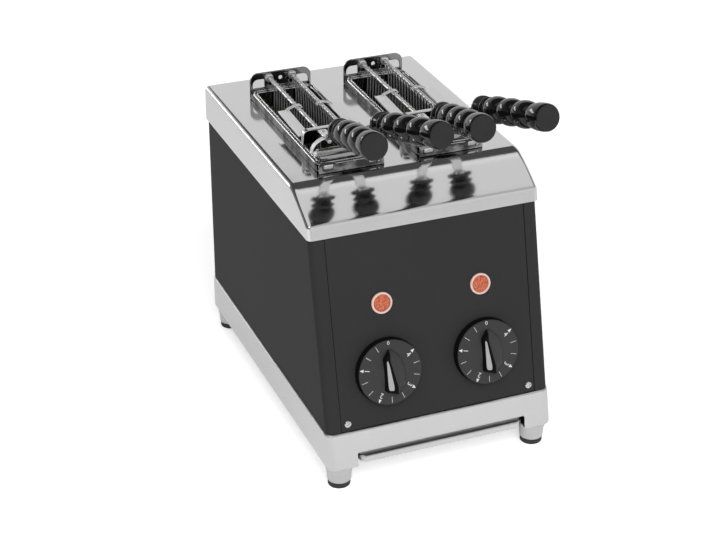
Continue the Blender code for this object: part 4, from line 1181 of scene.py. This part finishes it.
def makeGrip(name, centre, body, jaw, side):
    t = tongs
    neck, end = [local(centre, side * x, y, z) for x, y, z in (grip["neckPlace"], grip["endPlace"])]
    way = (end - neck).normalized()
    length = (end - neck).length
    spot = Matrix.Translation(neck) @ way.to_track_quat("Z", "Y").to_matrix().to_4x4()
    piece(name + "handle_" + jaw, lathe("grip", gripProfile(length), spot, 64), "bakelite", body,
          [name + "grip_" + jaw], angle=50)
    cap = [(0, length + grip["capThick"]), (grip["cap"] - 0.0006, length + grip["capThick"]),
           (grip["cap"], length - 0.0001), (0, length - 0.0001)]
    piece(name + "end_cap_" + jaw, lathe("cap", cap, spot, 64), "capPlastic", body)
    seat = t["rodUp"] + t["rodRadius"] + arm["lift"]
    rodX = side * t["rodX"]
    spine = [local(centre, rodX, arm["rear"], seat), local(centre, rodX, arm["bend"], seat),
             neck - way * 0.0100, neck - way * 0.0001]
    spine = filleted(spine, 0.010, 6)
    sides = []
    for i in range(len(spine)):
        share = i / (len(spine) - 1)
        sides.append(Vector((arm["halfWide"] + arm["swell"] * math.sin(math.pi * share), 0, 0)))
    bar = strap("arm", spine, sides, arm["sheet"])
    rivets = []
    for y in arm["rivets"]:
        spotUp = Matrix.Translation(local(centre, rodX, y, seat + 0.0010))
        rivets.append(lathe("rivet", [(0, 0.0010), (0.0010, 0.0008), (0.0017, 0.0001), (0.0017, -0.0004),
                                      (0, -0.0004)], spotUp, 20))
    ferrule = lathe("ferrule", [(0, -0.0032), (0.0050, -0.0032), (0.0062, -0.0024), (0.0064, 0.0001),
                                (0, 0.0001)], spot, 40)
    piece(name + "strap_" + jaw, joined("arm", [bar, ferrule] + rivets), "chromeSheet", body,
          [name + "arm_" + jaw], angle=40)


for hand, place in hands:
    name, centre = hand + "_tongs_", place * tongs["pitch"]
    makeCarrier(name, centre, hand + "_tongs")
    makePlates(name, centre, hand + "_tongs")
    makeBridge(name, centre, hand + "_tongs")
    for jaw, side in hands:
        makeSpring(name, centre, hand + "_tongs", jaw, side)
        makeGrid(name, centre, name + jaw + "_jaw", jaw, side)
        makeGrip(name, centre, name + jaw + "_jaw", jaw, side)
print("tongs made")

# studio
studio = {"floor": 0.84, "lift": 0.45, "wall": 0.82, "box": 0.80, "rim": 0.45, "gap": 0.08, "fall": 0.24,
          "shade": 0.6, "key": 9.0, "keySize": (1.4, 0.40), "keyPlace": (-1.30, 2.85, 0.80), "fill": 75.0,
          "fillSize": (2.0, 2.0), "fillPlace": (-0.55, -2.35, 2.1), "spark": 4.0, "sparkSize": (0.34, 0.34),
          "sparkPlace": (-1.15, -1.0, 1.75)}


def makeStudio():
    bm = bmesh.new()
    bmesh.ops.create_grid(bm, x_segments=2, y_segments=2, size=30)
    ground = bpy.data.objects.new("floor", meshOf("floor", bm))
    scene.collection.objects.link(ground)
    material = bpy.data.materials.new("floorPaper")
    material.use_nodes = True
    s = Shader(material.node_tree)
    mirrored = s.node("LightPath", output="Is Glossy Ray") + s.node("LightPath", output="Is Transmission Ray")
    flat = s.node("VectorMath", {"operation": "LENGTH"}, {0: s.node("TexCoord", output="Object")}, "Value")
    seen = s.node("LightPath", output="Is Camera Ray") + mirrored * s.band(flat, 1.2, 3.0, 0.25, 0.75)
    principled = s.tree.nodes["Principled BSDF"]
    principled.inputs["Roughness"].default_value = 0.9
    principled.inputs["Specular IOR Level"].default_value = 0.0
    paper = s.noise(3, 2)
    plug(s.tree, principled.inputs["Base Color"],
         s.mix(paper, grey(studio["floor"]), grey(studio["floor"] + 0.01)))
    plug(s.tree, principled.inputs["Emission Color"], s.mix(seen, grey(0), grey(1)))
    principled.inputs["Emission Strength"].default_value = studio["lift"]
    ground.data.materials.append(material)

    world = bpy.data.worlds.new("studio")
    scene.world = world
    world.use_nodes = True
    w = Shader(world.node_tree)
    heading = w.node("TexCoord", output="Generated")
    up = w.node("SeparateXYZ", inputs={0: heading}, output=2)
    away = w.node("SeparateXYZ", inputs={0: heading}, output=1)
    across = w.node("SeparateXYZ", inputs={0: heading}, output=0)
    low = w.band(up, 0.455, 0.437)  # bright wall, dark gap above it, soft box overhead and to the front
    edge = away - up * 0.287
    box = w.band(edge, 0.010, -0.010) * w.band(across * across, 0.52, 0.42)
    soft = studio["box"] + studio["rim"] * w.band(edge, -0.07, -0.01)
    soft = soft - studio["fall"] * w.band(away, -0.05, -0.38)
    wall = studio["wall"] - studio["shade"] * w.band(across, -0.15, -0.65)
    level = low * wall + (1 - low) * (box * soft + (1 - box) * studio["gap"])
    plug(w.tree, w.tree.nodes["Background"].inputs["Color"], w.mix(level, grey(0), grey(1)))
    w.tree.nodes["Background"].inputs["Strength"].default_value = 1.0

    for name in ("key", "fill", "spark"):
        light = bpy.data.lights.new(name + "Box", "AREA")
        light.shape = "RECTANGLE"
        light.size, light.size_y = studio[name + "Size"]
        light.energy = studio[name]
        box = bpy.data.objects.new(name + "Box", light)
        scene.collection.objects.link(box)
        box.location = studio[name + "Place"]
        box.rotation_euler = (Vector((0, 0, 0.2)) - box.location).to_track_quat("-Z", "Y").to_euler()
        box.visible_glossy = name != "fill"  # the fill leaves no glare on the steel


makeStudio()
view = {"place": (-0.59955, -1.45255, 0.96522), "yaw": -21.827, "pitch": -28.115, "lens": 92.085}
camera = bpy.data.objects.new("camera", bpy.data.cameras.new("camera"))
scene.collection.objects.link(camera)
camera.location = view["place"]
camera.rotation_euler = (math.radians(90 + view["pitch"]), 0, math.radians(view["yaw"]))
camera.data.lens = view["lens"]
camera.data.sensor_width = 36
scene.camera = camera
scene.view_settings.view_transform = "Standard"
print("studio made")
